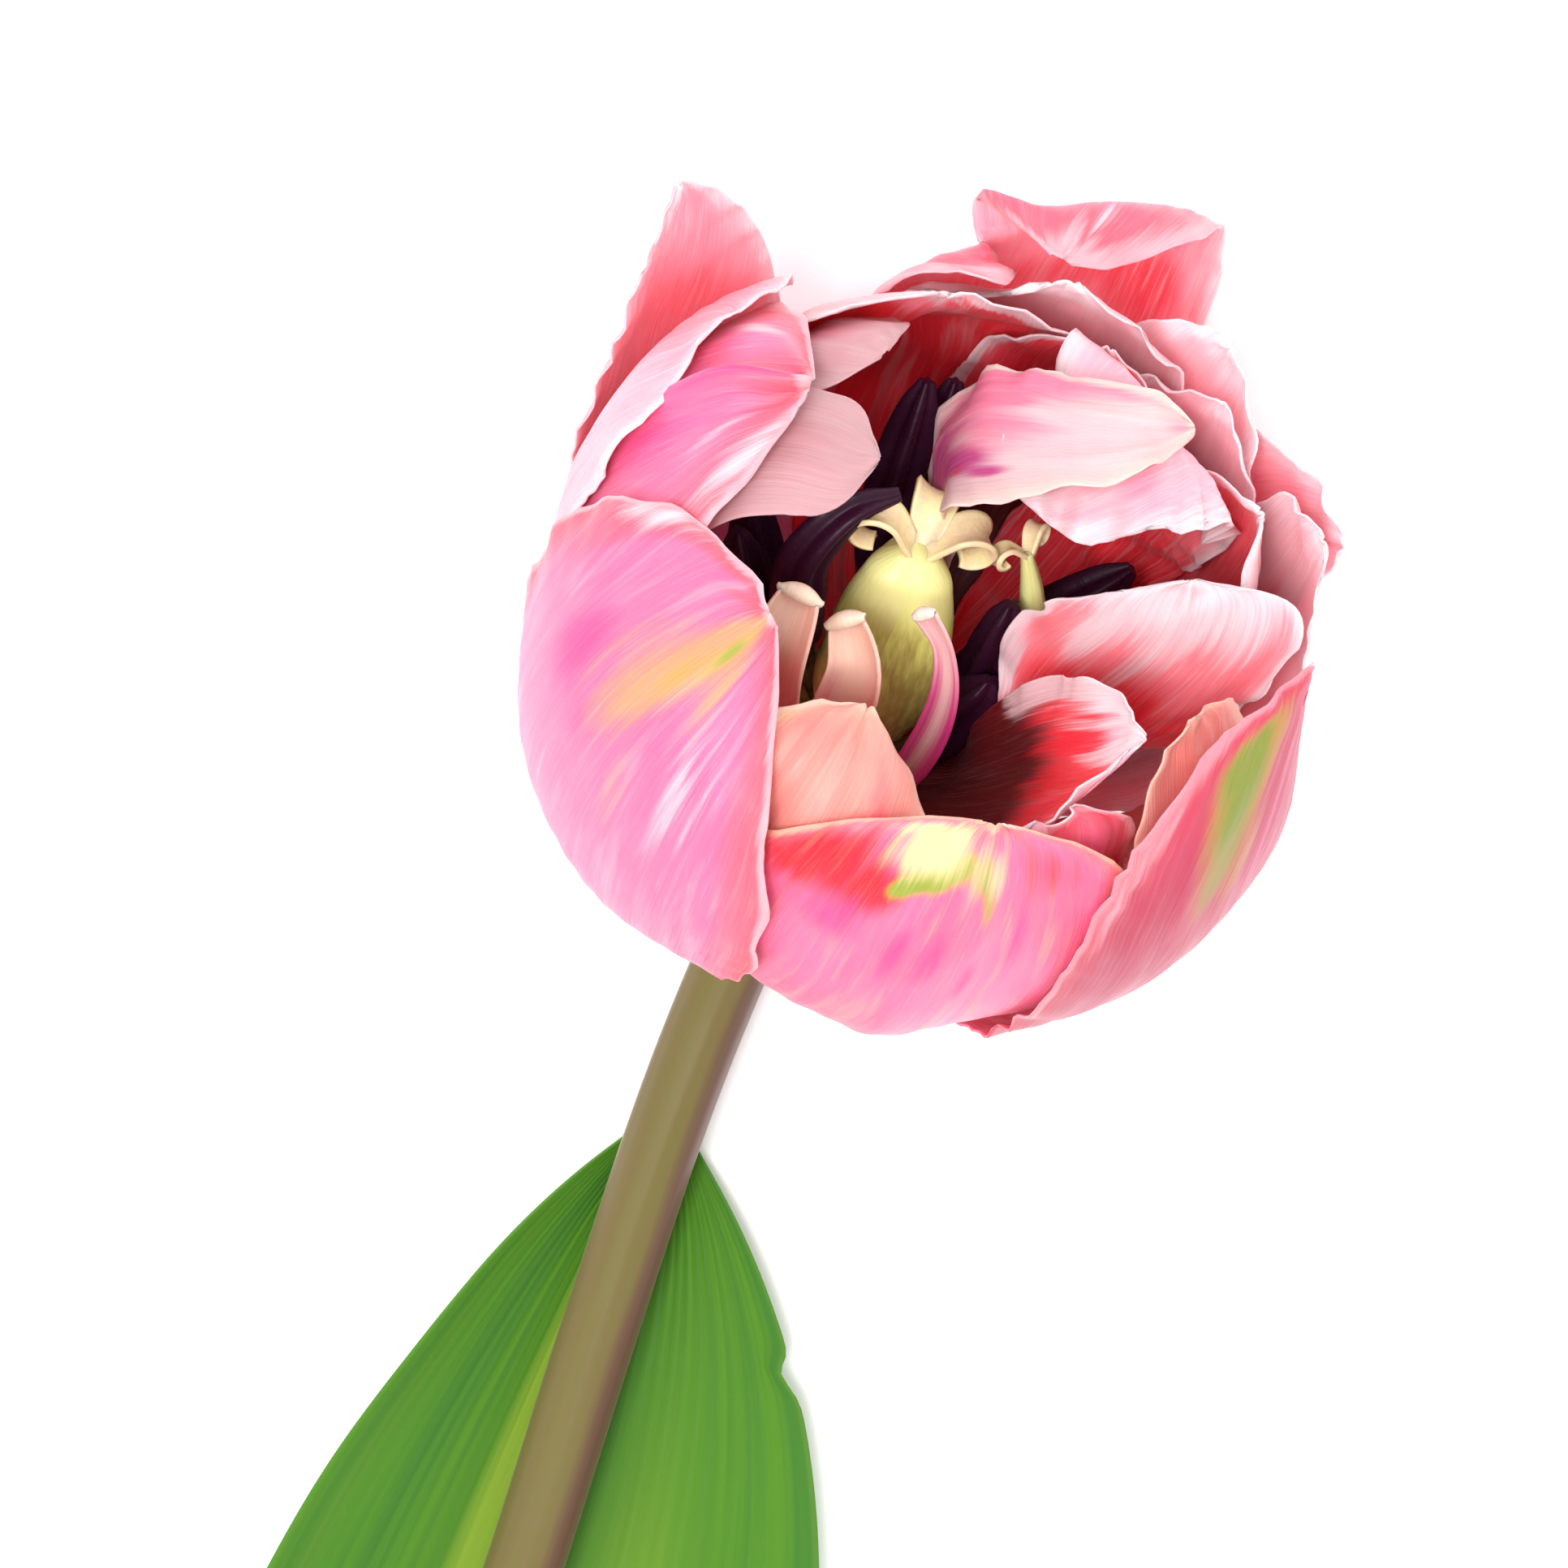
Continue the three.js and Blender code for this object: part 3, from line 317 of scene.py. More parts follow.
def with_middles(face, normal):
    """Points of a petal and of the middles of its cells' sides, their normals, and the grid point they move."""
    index = np.arange(face.shape[0] * face.shape[1]).reshape(face.shape[:2])
    p = [face.reshape(-1, 3), (face[:, :-1] + face[:, 1:]).reshape(-1, 3) / 2,
         (face[:-1] + face[1:]).reshape(-1, 3) / 2]
    n = [normal.reshape(-1, 3), unit(normal[:, :-1] + normal[:, 1:]).reshape(-1, 3),
         unit(normal[:-1] + normal[1:]).reshape(-1, 3)]
    return np.vstack(p), np.vstack(n), np.concatenate([index.ravel(), index[:, :-1].ravel(), index[:-1].ravel()])


def spread(m):
    """Each move shared with its neighbours' mean."""
    total, count = np.zeros_like(m), np.zeros(m.shape[:2])
    for a, b in ((np.s_[1:], np.s_[:-1]), (np.s_[:, 1:], np.s_[:, :-1])):
        total[a] += m[b]
        total[b] += m[a]
        count[a] += 1
        count[b] += 1
    return 0.5 * m + 0.5 * total / count[..., None]


def part_petals(faces):
    """Petals that come closer than the clearance are moved apart, the later petal to the inner side."""
    free = {"partition", "front_right_in", "petaloid", "hood"}
    names = list(faces)
    for turn in range(PARTING_ROUNDS):
        calm = turn < PARTING_ROUNDS - SHARP_ROUNDS
        info = {n: with_middles(faces[n], grid_normals(faces[n])) for n in names}
        low = {n: info[n][0].min(0) for n in names}
        high = {n: info[n][0].max(0) for n in names}
        moves = {n: np.zeros((faces[n][..., 0].size, 4)) for n in names}
        for k, a in enumerate(names):
            pa, na, ia = info[a]
            for b in names[k + 1:]:
                if (low[a] > high[b] + 2).any() or (low[b] > high[a] + 2).any():
                    continue
                pb, _, ib = info[b]
                close = ((pb > low[a] - SEARCH) & (pb < high[a] + SEARCH)).all(1)
                q, iq = pb[close], ib[close]
                if not len(q):
                    continue
                apart = (q**2).sum(1)[:, None] + (pa**2).sum(1)[None] - 2 * q @ pa.T
                near = apart.argmin(1)
                best = apart[np.arange(len(q)), near]
                gap = ((q - pa[near]) * na[near]).sum(1)
                hit = (best < SEARCH**2) & (best - gap * gap <= BESIDE**2) & (np.abs(gap) <= DEEPEST)
                if not hit.any():
                    continue
                want = 1 if not free & {a, b} or np.sign(gap[hit]).sum() >= 0 else -1
                lack = CLEARANCE - want * gap
                hit &= lack > 0
                push = na[near[hit]] * (want * np.minimum(lack[hit], LONGEST_PUSH) * 0.5)[:, None]
                push = np.hstack([push, np.ones((len(push), 1))])
                np.add.at(moves[b], iq[hit], push)
                np.add.at(moves[a], ia[near[hit]], push * [-1, -1, -1, 1])
        for n in names:
            m = (moves[n][:, :3] / np.maximum(moves[n][:, 3:], 1)).reshape(faces[n].shape)
            for _ in range(2 if calm else 0):
                m = spread(m)
            m[0] *= 0.3
            p = faces[n] + m * (1.5 if calm else 1)
            r = np.hypot(p[..., 0], p[..., 1])
            keep = np.where(p[..., 2] < RECEPTACLE_TOP + 1, RECEPTACLE_RADIUS + 0.75, 0)
            p[..., :2] *= np.where(r < keep, keep / r, 1)[..., None]
            lift = np.maximum(TABLE - in_flower(p)[..., 2], 0)
            faces[n] = p + lift[..., None] * AXES[:, 2]
    return faces


def cell_points(face):
    """Points all over a petal's cells."""
    u = np.array([0, 0.25, 0.5, 0.75, 1])[:, None, None, None, None]
    v = np.array([0, 0.33, 0.67, 1])[None, :, None, None, None]
    a, b, c, d = face[:-1, :-1], face[1:, :-1], face[:-1, 1:], face[1:, 1:]
    return ((a * (1 - u) + b * u) * (1 - v) + (c * (1 - u) + d * u) * v).reshape(-1, 3)


def clear_rods(faces):
    """Paths of the stamens, curls, ribbon and extra carpel, moved clear of pistil, petals and each other."""
    rods = {n: (line(p, np.arange(len(r)) / (len(r) - 1)), np.array(r)) for n, (p, r) in RODS.items()}
    for n, way in STAMENS.items():
        p = [(r * math.cos(math.radians(a)), r * math.sin(math.radians(a)), w) for r, w, a in way]
        rods["stamen_" + n] = (line(p, ANTHER_STEPS), np.array(ANTHER_RADII))
    petals = np.vstack([cell_points(f) for f in faces.values()])
    tree = KDTree(len(petals))
    for i, p in enumerate(petals):
        tree.insert(p, i)
    tree.balance()
    core = line(PISTIL, PISTIL_STEPS)
    core_r = np.array(PISTIL_RADII)

    def away(p, reach, points):
        """Half of what each of p lacks to lie reach from points."""
        d = p[:, None] - points[None]
        dist = np.linalg.norm(d, axis=2)
        lack = np.where((dist < reach) & (dist > 1e-6), reach - dist, 0)
        return (d / np.maximum(dist, 1e-6)[..., None] * lack[..., None]).sum(1) * 0.5

    for _ in range(ROD_ROUNDS):
        for n, (path, radii) in rods.items():
            r = radii + ROD_GAP
            move = away(path, core_r[None] * PISTIL_ROOM + r[:, None], core)
            move += away(path, (core_r[1:] + core_r[:-1])[None] * PISTIL_ROOM / 2 + r[:, None],
                         (core[1:] + core[:-1]) / 2)
            for other, (way, wide) in rods.items():
                if other != n:
                    move += away(path, wide[None] + r[:, None], way)
                    move += away(path, (wide[1:] + wide[:-1])[None] / 2 + r[:, None], (way[1:] + way[:-1]) / 2)
            for i, p in enumerate(path):
                near, _, dist = tree.find(p)
                if 1e-6 < dist < r[i] + PETAL_GAP:
                    move[i] += (p - near) / dist * (r[i] + PETAL_GAP - dist) * 0.5
            pad = np.vstack([move[:1], move, move[-1:]])
            path += (pad[:-2] + 2 * pad[1:-1] + pad[2:]) / 4
            path[:, 2] = np.maximum(path[:, 2], RECEPTACLE_TOP + 0.5)
    return {n: path for n, (path, _) in rods.items()}


def in_row(points):
    """Flower's own frame in millimetres to the row frame in metres."""
    return (np.asarray(points, float) - [MIDDLE[0], MIDDLE[1], 0]) * 0.001


def finer_weights(n, m):
    """Weights that read a smooth line through n points at m even places."""
    x = np.linspace(0, n - 1, m)
    i = np.minimum(x.astype(int), n - 2)
    u = x - i
    w = np.zeros((m, n + 2))
    for k, part in enumerate((-0.5 * u + u**2 - 0.5 * u**3, 1 - 2.5 * u**2 + 1.5 * u**3,
                              0.5 * u + 2 * u**2 - 1.5 * u**3, -0.5 * u**2 + 0.5 * u**3)):
        w[np.arange(m), i + k] += part
    w[:, 1] += 2 * w[:, 0]
    w[:, 2] -= w[:, 0]
    w[:, n] += 2 * w[:, n + 1]
    w[:, n - 1] -= w[:, n + 1]
    return w[:, 1:-1]


def finer(grid, rows, cols):
    """A grid of points read smoothly at rows by cols even places."""
    return np.einsum("ai,bj,ijk->abk", finer_weights(grid.shape[0], rows), finer_weights(grid.shape[1], cols), grid)


def grid_places(rows, cols):
    """Place along, 0 to 1, and across, -1 to 1, of each point of a grid."""
    return np.repeat(np.linspace(0, 1, rows)[:, None], cols, 1), np.repeat(np.linspace(-1, 1, cols)[None], rows, 0)


def grid_lengths(face):
    """Length across from the first column and along from the first row to each point of a face."""
    rows, cols = face.shape[:2]
    across = np.hstack([np.zeros((rows, 1)), np.cumsum(np.linalg.norm(np.diff(face, axis=1), axis=2), axis=1)])
    along = np.vstack([np.zeros((1, cols)), np.cumsum(np.linalg.norm(np.diff(face, axis=0), axis=2), axis=0)])
    return across, along


def spot(s, t, s0, ds, t0, dt):
    """Soft round patch about one place across and along, 1 at its middle."""
    return np.exp(-(((s - s0) / ds) ** 2) - ((t - t0) / dt) ** 2)


def first_mark(values):
    """Values as the first of the four colour marks of each point."""
    return np.stack([values, 0 * values, 0 * values, 0 * values], 1)


def soft_noise(seed, u, v, count=7):
    """Smooth noise about -1 to 1 from a few waves of random direction."""
    rng = np.random.default_rng(seed)
    total = 0
    for _ in range(count):
        a, b, c = rng.uniform(-1, 1), rng.uniform(-1, 1), rng.uniform(0, 2 * math.pi)
        total = total + np.sin(2 * math.pi * (a * u + b * v) + c)
    return total / math.sqrt(count) / 1.2


def mesh_object(name, points, faces, slots=None, **data):
    """Plain mesh at the origin, smooth shaded, with float, vector or colour attributes on its points."""
    mesh = bpy.data.meshes.new(name)
    mesh.from_pydata([tuple(p) for p in np.asarray(points, float).tolist()], [], [tuple(f) for f in faces])
    for key, values in data.items():
        values = np.asarray(values, np.float32)
        kind = {1: "FLOAT", 3: "FLOAT_VECTOR", 4: "FLOAT_COLOR"}[1 if values.ndim == 1 else values.shape[1]]
        attribute = mesh.attributes.new(key, kind, "POINT")
        attribute.data.foreach_set({"FLOAT": "value", "FLOAT_VECTOR": "vector", "FLOAT_COLOR": "color"}[kind],
                                   values.ravel())
    if slots is not None:
        mesh.polygons.foreach_set("material_index", np.asarray(slots, np.int32))
    mesh.polygons.foreach_set("use_smooth", np.ones(len(mesh.polygons), bool))
    mesh.update()
    obj = bpy.data.objects.new(name, mesh)
    bpy.context.scene.collection.objects.link(obj)
    return obj


def finish_piece(obj, materials, slot, *nodes):
    """Materials, body and replaced solids of a piece; slot is not used."""
    for material in materials:
        obj.data.materials.append(material)
    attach(obj, "root")
    if nodes:
        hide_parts(*nodes)


def cells(rows, cols):
    """Corners of each cell of a grid, by index."""
    a = (np.arange(rows - 1)[:, None] * cols + np.arange(cols - 1)[None]).ravel()
    return np.stack([a, a + cols, a + cols + 1, a + 1], 1)


def border(rows, cols):
    """Points round the border of a grid, by index."""
    at = np.arange(rows * cols).reshape(rows, cols)
    return np.r_[at[0, :-1], at[:-1, -1], at[-1, :0:-1], at[:0:-1, 0]]


def blade_object(name, middle, half_thickness, rim, vein, marks_in, rim_in, marks_out, rim_out):
    """Closed thin blade about a middle face with a rounded rim. Face slot 0 is the inner side, 1 the outer."""
    rows, cols = middle.shape[:2]
    n = grid_normals(middle)
    size = rows * cols
    inner = middle + n * half_thickness[..., None]
    outer = middle - n * half_thickness[..., None]
    at = border(rows, cols)
    ri, rj = np.divmod(at, cols)
    back = middle[np.clip(ri, 1, rows - 2), np.clip(rj, 1, cols - 2)]
    edge = middle[ri, rj]
    out = unit(edge - back)
    points = np.vstack([inner.reshape(-1, 3), outer.reshape(-1, 3), edge + out * rim])
    top = cells(rows, cols)
    rim_at = 2 * size + np.arange(len(at))
    ahead, rim_ahead = np.roll(at, -1), np.roll(rim_at, -1)
    faces = np.vstack([top, top[:, ::-1] + size, np.stack([at, ahead, rim_ahead, rim_at], 1),
                       np.stack([rim_at, rim_ahead, ahead + size, at + size], 1)])
    slots = np.repeat([0, 1, 0, 1], [len(top), len(top), len(at), len(at)])
    flat_vein = vein.reshape(-1, 3)
    flat_in = marks_in.reshape(-1, 4)
    attributes = dict(vein=np.vstack([flat_vein, flat_vein, flat_vein[at]]),
                      marks=np.vstack([flat_in, marks_out.reshape(-1, 4), flat_in[at]]),
                      rim=np.concatenate([rim_in.ravel(), rim_out.ravel(), rim_in.ravel()[at]]))
    points = in_row(points)
    points[:, 2] = np.maximum(points[:, 2], 0)
    return mesh_object(name, points, faces.tolist(), slots, **attributes)


def tube(path, radii, sides, section=None):
    """Closed round body along a path: points, quads with a pole at each end, and (turn, length) of each point."""
    ahead = slopes(path)
    side = unit(np.cross(ahead[0], [0, 0, 1] if abs(ahead[0][2]) < 0.9 else [1, 0, 0]))
    length = np.r_[0, np.cumsum(np.linalg.norm(np.diff(path, axis=0), axis=1))]
    turn = np.arange(sides) / sides * 2 * math.pi
    points, place = [path[0]], [(0, 0)]
    for i, p in enumerate(path):
        side = unit(side - ahead[i] * (side @ ahead[i]))
        other = np.cross(ahead[i], side)
        r = radii[i] * (section(turn, i) if section else np.ones(sides))
        points.extend(p + side * (r * np.cos(turn))[:, None] + other * (r * np.sin(turn))[:, None])
        place.extend((a, length[i]) for a in turn)
    points.append(path[-1])
    place.append((0, length[-1]))
    faces = []
    last, top = len(points) - 1, 1 + (len(path) - 1) * sides
    for k in range(sides):
        n = (k + 1) % sides
        faces.append((0, 1 + n, 1 + k))
        faces.append((last, top + k, top + n))
        for i in range(len(path) - 1):
            a, b = 1 + i * sides + k, 1 + i * sides + n
            faces.append((a, b, b + sides, a + sides))
    return np.array(points), faces, np.array(place)


def smooth_path(path, radii, count):
    """A path and its radii read at count even places."""
    both = np.hstack([path, np.asarray(radii, float)[:, None]])
    w = finer_weights(len(both), count)
    out = w @ both
    return out[:, :3], np.maximum(out[:, 3], 0.25)


def tone(r, g, b):
    """Colour seen on screen, 0 to 255, as the linear value that Blender uses."""
    return tuple((v / 255 / 12.92 if v <= 10 else ((v / 255 + 0.055) / 1.055) ** 2.4) for v in (r, g, b))


class Nodes:
    """Short hand for building one node tree."""

    def __init__(self, tree):
        self.tree = tree

    def add(self, kind, *inputs, **settings):
        node = self.tree.nodes.new(kind)
        named = settings.pop("named", {})
        for key, value in settings.items():
            setattr(node, key, value)
        for key, value in [*enumerate(inputs), *named.items()]:
            if value is None:
                continue
            if isinstance(value, bpy.types.NodeSocket):
                self.tree.links.new(value, node.inputs[key])
            else:
                node.inputs[key].default_value = value
        return node

    def first(self, kind, *inputs, **settings):
        """First output of a new node."""
        return self.add(kind, *inputs, **settings).outputs[0]

    def set(self, sockets, **values):
        """Sockets by name, with _ for a space, each linked to a socket or given a value."""
        for key, value in values.items():
            socket = sockets[key.replace("_", " ")]
            if isinstance(value, bpy.types.NodeSocket):
                self.tree.links.new(value, socket)
            else:
                socket.default_value = (*value, 1) if socket.type == "RGBA" else value

    def math(self, operation, *values):
        return self.first("ShaderNodeMath", *values, operation=operation)

    def times(self, a, b):
        return self.math("MULTIPLY", a, b)

    def plus(self, a, b):
        return self.math("ADD", a, b)

    def about(self, value, size):
        """A value from 0 to 1 spread over size about 0."""
        return self.math("MULTIPLY_ADD", value, size, -size / 2)

    def mix(self, factor, a, b):
        node = self.add("ShaderNodeMix", data_type="RGBA", named={"Factor": factor})
        for socket, value in ((node.inputs[6], a), (node.inputs[7], b)):
            if isinstance(value, bpy.types.NodeSocket):
                self.tree.links.new(value, socket)
            else:
                socket.default_value = (*value, 1)
        return node.outputs[2]

    def ramp(self, value, low, high, to_low=0.0, to_high=1.0):
        return self.first("ShaderNodeMapRange", value, low, high, to_low, to_high, interpolation_type="SMOOTHSTEP")

    def attribute(self, name, output="Vector"):
        return self.add("ShaderNodeAttribute", attribute_name=name).outputs[output]

    def noise(self, vector, stretch, detail, scale=1.0):
        pulled = self.first("ShaderNodeVectorMath", vector, stretch, operation="MULTIPLY")
        return self.first("ShaderNodeTexNoise", named={"Vector": pulled, "Scale": scale, "Detail": detail})


def add_sockets(tree, way, **kinds):
    """Inputs or outputs of a node group: the names of those of each kind."""
    for kind, names in kinds.items():
        for name in names:
            tree.interface.new_socket(name, in_out=way, socket_type="NodeSocket" + kind)


def shader_group(name, colours, values):
    """Empty shader node group that gives a colour, a height and a roughness: its helper, inputs and outputs."""
    tree = bpy.data.node_groups.new(name, "ShaderNodeTree")
    add_sockets(tree, "INPUT", Color=colours, Float=values)
    add_sockets(tree, "OUTPUT", Color=["Color"], Float=["Height", "Roughness"])
    n = Nodes(tree)
    return n, n.add("NodeGroupInput").outputs, n.add("NodeGroupOutput").inputs


PETAL_COLOURS = ("Ground", "Deep", "Warm", "Green", "Pale", "Band")
PETAL_VALUES = ("Lines", "Flow", "Rib Tint", "Margin", "Band Amount", "Band Width")
RIB_TONE = tone(176, 128, 132)


def petal_tint_group():
    """Colour of a petal skin: a ground colour, streaked patches from the marks, fine lines and veins."""
    if "petal tint" in bpy.data.node_groups:
        return bpy.data.node_groups["petal tint"]
    n, given, out = shader_group("petal tint", PETAL_COLOURS, PETAL_VALUES)
    vein = n.attribute("vein")
    marks = n.add("ShaderNodeAttribute", attribute_name="marks").outputs
    parts = n.add("ShaderNodeSeparateColor", marks["Color"]).outputs
    fine = n.noise(vein, (2.1, 0.07, 1.0), 3.0)
    hair = n.noise(vein, (4.6, 0.12, 1.0), 2.0)
    flow = n.noise(vein, (0.5, 0.05, 1.0), 3.0)
    cloud = n.noise(vein, (0.11, 0.06, 1.0), 3.0)
    wander = n.plus(n.plus(n.about(fine, 0.55), n.about(flow, 1.2)), n.about(hair, 0.3))
    wander = n.times(wander, given["Flow"])
    ragged = n.plus(n.attribute("rim", "Fac"), n.math("MULTIPLY_ADD", n.plus(fine, flow), 1.5, -1.5))
    band = n.times(n.ramp(ragged, given["Band Width"], 0.9), given["Band Amount"])
    margin = n.times(n.ramp(ragged, 1.5, 0.45), given["Margin"])
    colour = n.mix(n.times(n.ramp(cloud, 0.4, 0.7), 0.22), given["Ground"], given["Deep"])
    colour = n.mix(n.times(n.ramp(flow, 0.5, 0.7), 0.22), colour, given["Pale"])
    colour = n.mix(band, colour, given["Band"])
    for mark, label in ((parts[0], "Deep"), (parts[1], "Warm"), (parts[2], "Green"), (marks["Alpha"], "Pale")):
        streaked = n.ramp(n.plus(mark, wander), 0.18, 0.82)
        colour = n.mix(n.times(streaked, n.ramp(mark, 0.0, 0.22)), colour, given[label])
    colour = n.mix(margin, colour, given["Pale"])
    pale_line = n.times(n.ramp(fine, 0.5, 0.74), given["Lines"])
    pale_hair = n.times(n.ramp(hair, 0.52, 0.72), n.times(given["Lines"], 0.6))
    colour = n.mix(n.math("MAXIMUM", pale_line, pale_hair), colour, given["Pale"])
    rib = n.times(n.ramp(hair, 0.5, 0.38), n.times(given["Rib Tint"], margin))
    height = n.plus(n.times(hair, 0.5), n.plus(n.times(fine, 0.7), n.times(cloud, 2.4)))
    n.set(out, Color=n.mix(rib, colour, RIB_TONE), Height=height, Roughness=n.ramp(flow, 0.3, 0.7, 0.36, 0.5))
    return n.tree


def streaked_group():
    """Two tones in lengthwise streaks with a fine grain, for stem, leaf, pistil and anthers."""
    if "streaked" in bpy.data.node_groups:
        return bpy.data.node_groups["streaked"]
    n, given, out = shader_group("streaked", ("Ground", "Second", "Mark"), ("Across", "Along", "Amount"))
    vein = n.attribute("vein")
    mark = n.first("ShaderNodeSeparateColor", n.attribute("marks", "Color"))
    size = n.first("ShaderNodeCombineXYZ", given["Across"], given["Along"], 1.0)
    wide, fine = n.noise(vein, size, 3.0, 0.35), n.noise(vein, size, 3.0, 1.6)
    both = n.plus(n.times(wide, 0.6), n.times(fine, 0.4))
    colour = n.mix(n.times(n.ramp(both, 0.36, 0.66), given["Amount"]), given["Ground"], given["Second"])
    streaky = n.ramp(n.plus(mark, n.about(both, 0.8)), 0.2, 0.8)
    colour = n.mix(n.times(streaky, n.ramp(mark, 0.0, 0.2)), colour, given["Mark"])
    n.set(out, Color=colour, Height=fine, Roughness=n.ramp(wide, 0.3, 0.7, 0.32, 0.46))
    return n.tree


def surface(name, **values):
    """Material with one Principled shader whose own sockets are set from values."""
    material = bpy.data.materials.new(name)
    material.use_nodes = True
    material.node_tree.nodes.clear()
    n = Nodes(material.node_tree)
    shader = n.add("ShaderNodeBsdfPrincipled")
    n.set(shader.inputs, **values)
    n.add("ShaderNodeOutputMaterial", shader.outputs[0])
    return material, n, shader


def tinted(name, group, given, bump, **shader_values):
    """Material whose colour, relief and roughness come from a shader group with the given inputs, made once."""
    if name in bpy.data.materials:
        return bpy.data.materials[name]
    material, n, shader = surface(name, **shader_values)
    tint = n.add("ShaderNodeGroup", node_tree=group())
    n.set(tint.inputs, **given)
    relief = n.add("ShaderNodeBump", named={"Strength": 0.5, "Distance": bump, "Height": tint.outputs["Height"]})
    n.set(shader.inputs, Base_Color=tint.outputs["Color"], Roughness=tint.outputs["Roughness"],
          Normal=relief.outputs[0])
    return material


def plant_material(name, ground, second, mark, across, along, amount=0.6, bump=0.0002, **shader_values):
    """Streaked material of stem, leaf, pistil or anthers, with its colours as linear values."""
    given = dict(Ground=ground, Second=second, Mark=mark, Across=across, Along=along, Amount=amount)
    return tinted(name, streaked_group, given, bump, **shader_values)


# Finishes of the petals: ground, deep, warm, green, pale and band colour, each by its name in the panel or as seen
# on screen, then strength of the pale lines and of the rib tint, of the margin, of the band and its width in
# millimetres, share of light that goes through, and sheen
RED = (232, 70, 88)
FINISHES = {
    "rose": ("rose", "magenta", "peach", "flame", "margin", (238, 88, 104),
             dict(lines=0.14, banded=0.9, width=9.0, margin=0.5)),
    # This finish is a darker copy of rose: painted shade on the outer face of outer_right.
    "shaded_rose": ((166, 50, 78), (176, 44, 92), (166, 124, 74), (116, 130, 46), (206, 150, 160), (184, 68, 84),
              dict(lines=0.14, banded=0.6, width=7.0, margin=0.6)),
    "flamed": ("rose", (232, 28, 50), "magenta", "flame", (214, 194, 146), (240, 120, 124),
               dict(lines=0.14, banded=0.6, width=7.0, margin=0.45)),
    "bright": ((255, 170, 182), (250, 96, 112), "rose", "flame", (252, 214, 220), (255, 206, 212),
               dict(lines=0.4, ribs=0.2, margin=0.95, width=6.0)),
    "coral": ("coral", RED, "rose", "flame", "margin", (252, 184, 192),
              dict(lines=0.45, ribs=0.25, banded=0.35, margin=0.9)),
    "red": ((236, 84, 98), "crimson", "coral", "flame", "margin", (248, 150, 160),
            dict(lines=0.25, ribs=0.25, margin=0.92)),
    # Crimson's near-black deep tone is painted shade, used by the crimson petals' root darkening and deep marks.
    "crimson": ("crimson", (92, 8, 18), "coral", "flame", "margin", (238, 70, 86),
                dict(lines=0.06, ribs=0.2, banded=0.6, margin=0.92, through=0.4, sheen=0.03)),
    "blush": ("blush", "coral", "peach", "rose", "margin", (248, 206, 206), dict(lines=0.25, ribs=0.25)),
    "peach": ((228, 142, 132), (226, 96, 104), (228, 172, 140), RED, (228, 184, 166), (228, 160, 142),
              dict(lines=0.25, margin=0.6)),
    "ribbon": ((232, 186, 184), (206, 54, 134), (230, 150, 170), RED, (240, 222, 200), (226, 110, 160),
               dict(lines=0.2, margin=0.3)),
    "curl": ((228, 184, 164), (214, 104, 120), (230, 170, 140), RED, (236, 212, 190), (230, 190, 166),
             dict(lines=0.2, margin=0.5)),
    # This finish darkens the white petals to a dull pink: painted shade on left_curl and white_tip.
    "white": ((176, 116, 122), "rose", "coral", RED, (182, 142, 146), (178, 132, 138),
              dict(lines=0.1, ribs=0.35, banded=0.8, margin=0.9, sheen=0.0)),
    "cream": ((210, 178, 180), (176, 70, 124), (212, 112, 140), (186, 50, 70), (214, 190, 180), (208, 170, 164),
              dict(lines=0.12, ribs=0.25, margin=0.5, sheen=0.0)),
}


def petal_skin(kind):
    """Material of one finish, made once."""
    *tones, settings = FINISHES[kind]
    panel = bpy.context.scene.tulip_colours
    tones = [getattr(panel, c) if isinstance(c, str) else tone(*c) for c in tones]
    v = dict(lines=0.3, ribs=0.0, margin=0.85, banded=0.5, width=4.5, through=0.65, sheen=0.1) | settings
    values = (v["lines"], 0.7, v["ribs"], v["margin"], v["banded"], v["width"])
    return tinted(kind + (" petaloid skin" if kind == "cream" else " petal skin"), petal_tint_group,
                  dict(zip(PETAL_COLOURS + PETAL_VALUES, (*tones, *values))), 0.0003,
                  Subsurface_Weight=v["through"], Subsurface_Radius=(1.0, 0.5, 0.5), Subsurface_Scale=0.0016,
                  Specular_IOR_Level=0.32, Sheen_Weight=v["sheen"], Sheen_Roughness=0.4,
                  Sheen_Tint=(1.0, 0.9, 0.93))


# Looks of each petal: inside and outside finish, width of the pale margin in millimetres inside and outside, how dark
# the root is inside, which is painted shade deep in the cup, colour marks, fine relief, strength of the ruffles, how
# round the margin's corners are in millimetres, how much narrower the margin is at the sides, and depth of its nicks
# in millimetres. Marks are named by face, i inner or o outer, and colour, d deep, w warm, g green or p pale, and each
# is (across, its spread, along, its spread, amount); a relief is (across, its spread, along, its spread, depth in
# millimetres). across runs from -1 to 1 and along from 0 at the root to 1.
def look(inside, outside, margin=(1.2, 1.2), root=0.0, relief=(), ruffle=1.0, rounding=1.5, narrow=1.0, notch=0.7,
         **marks):
    return dict(locals())


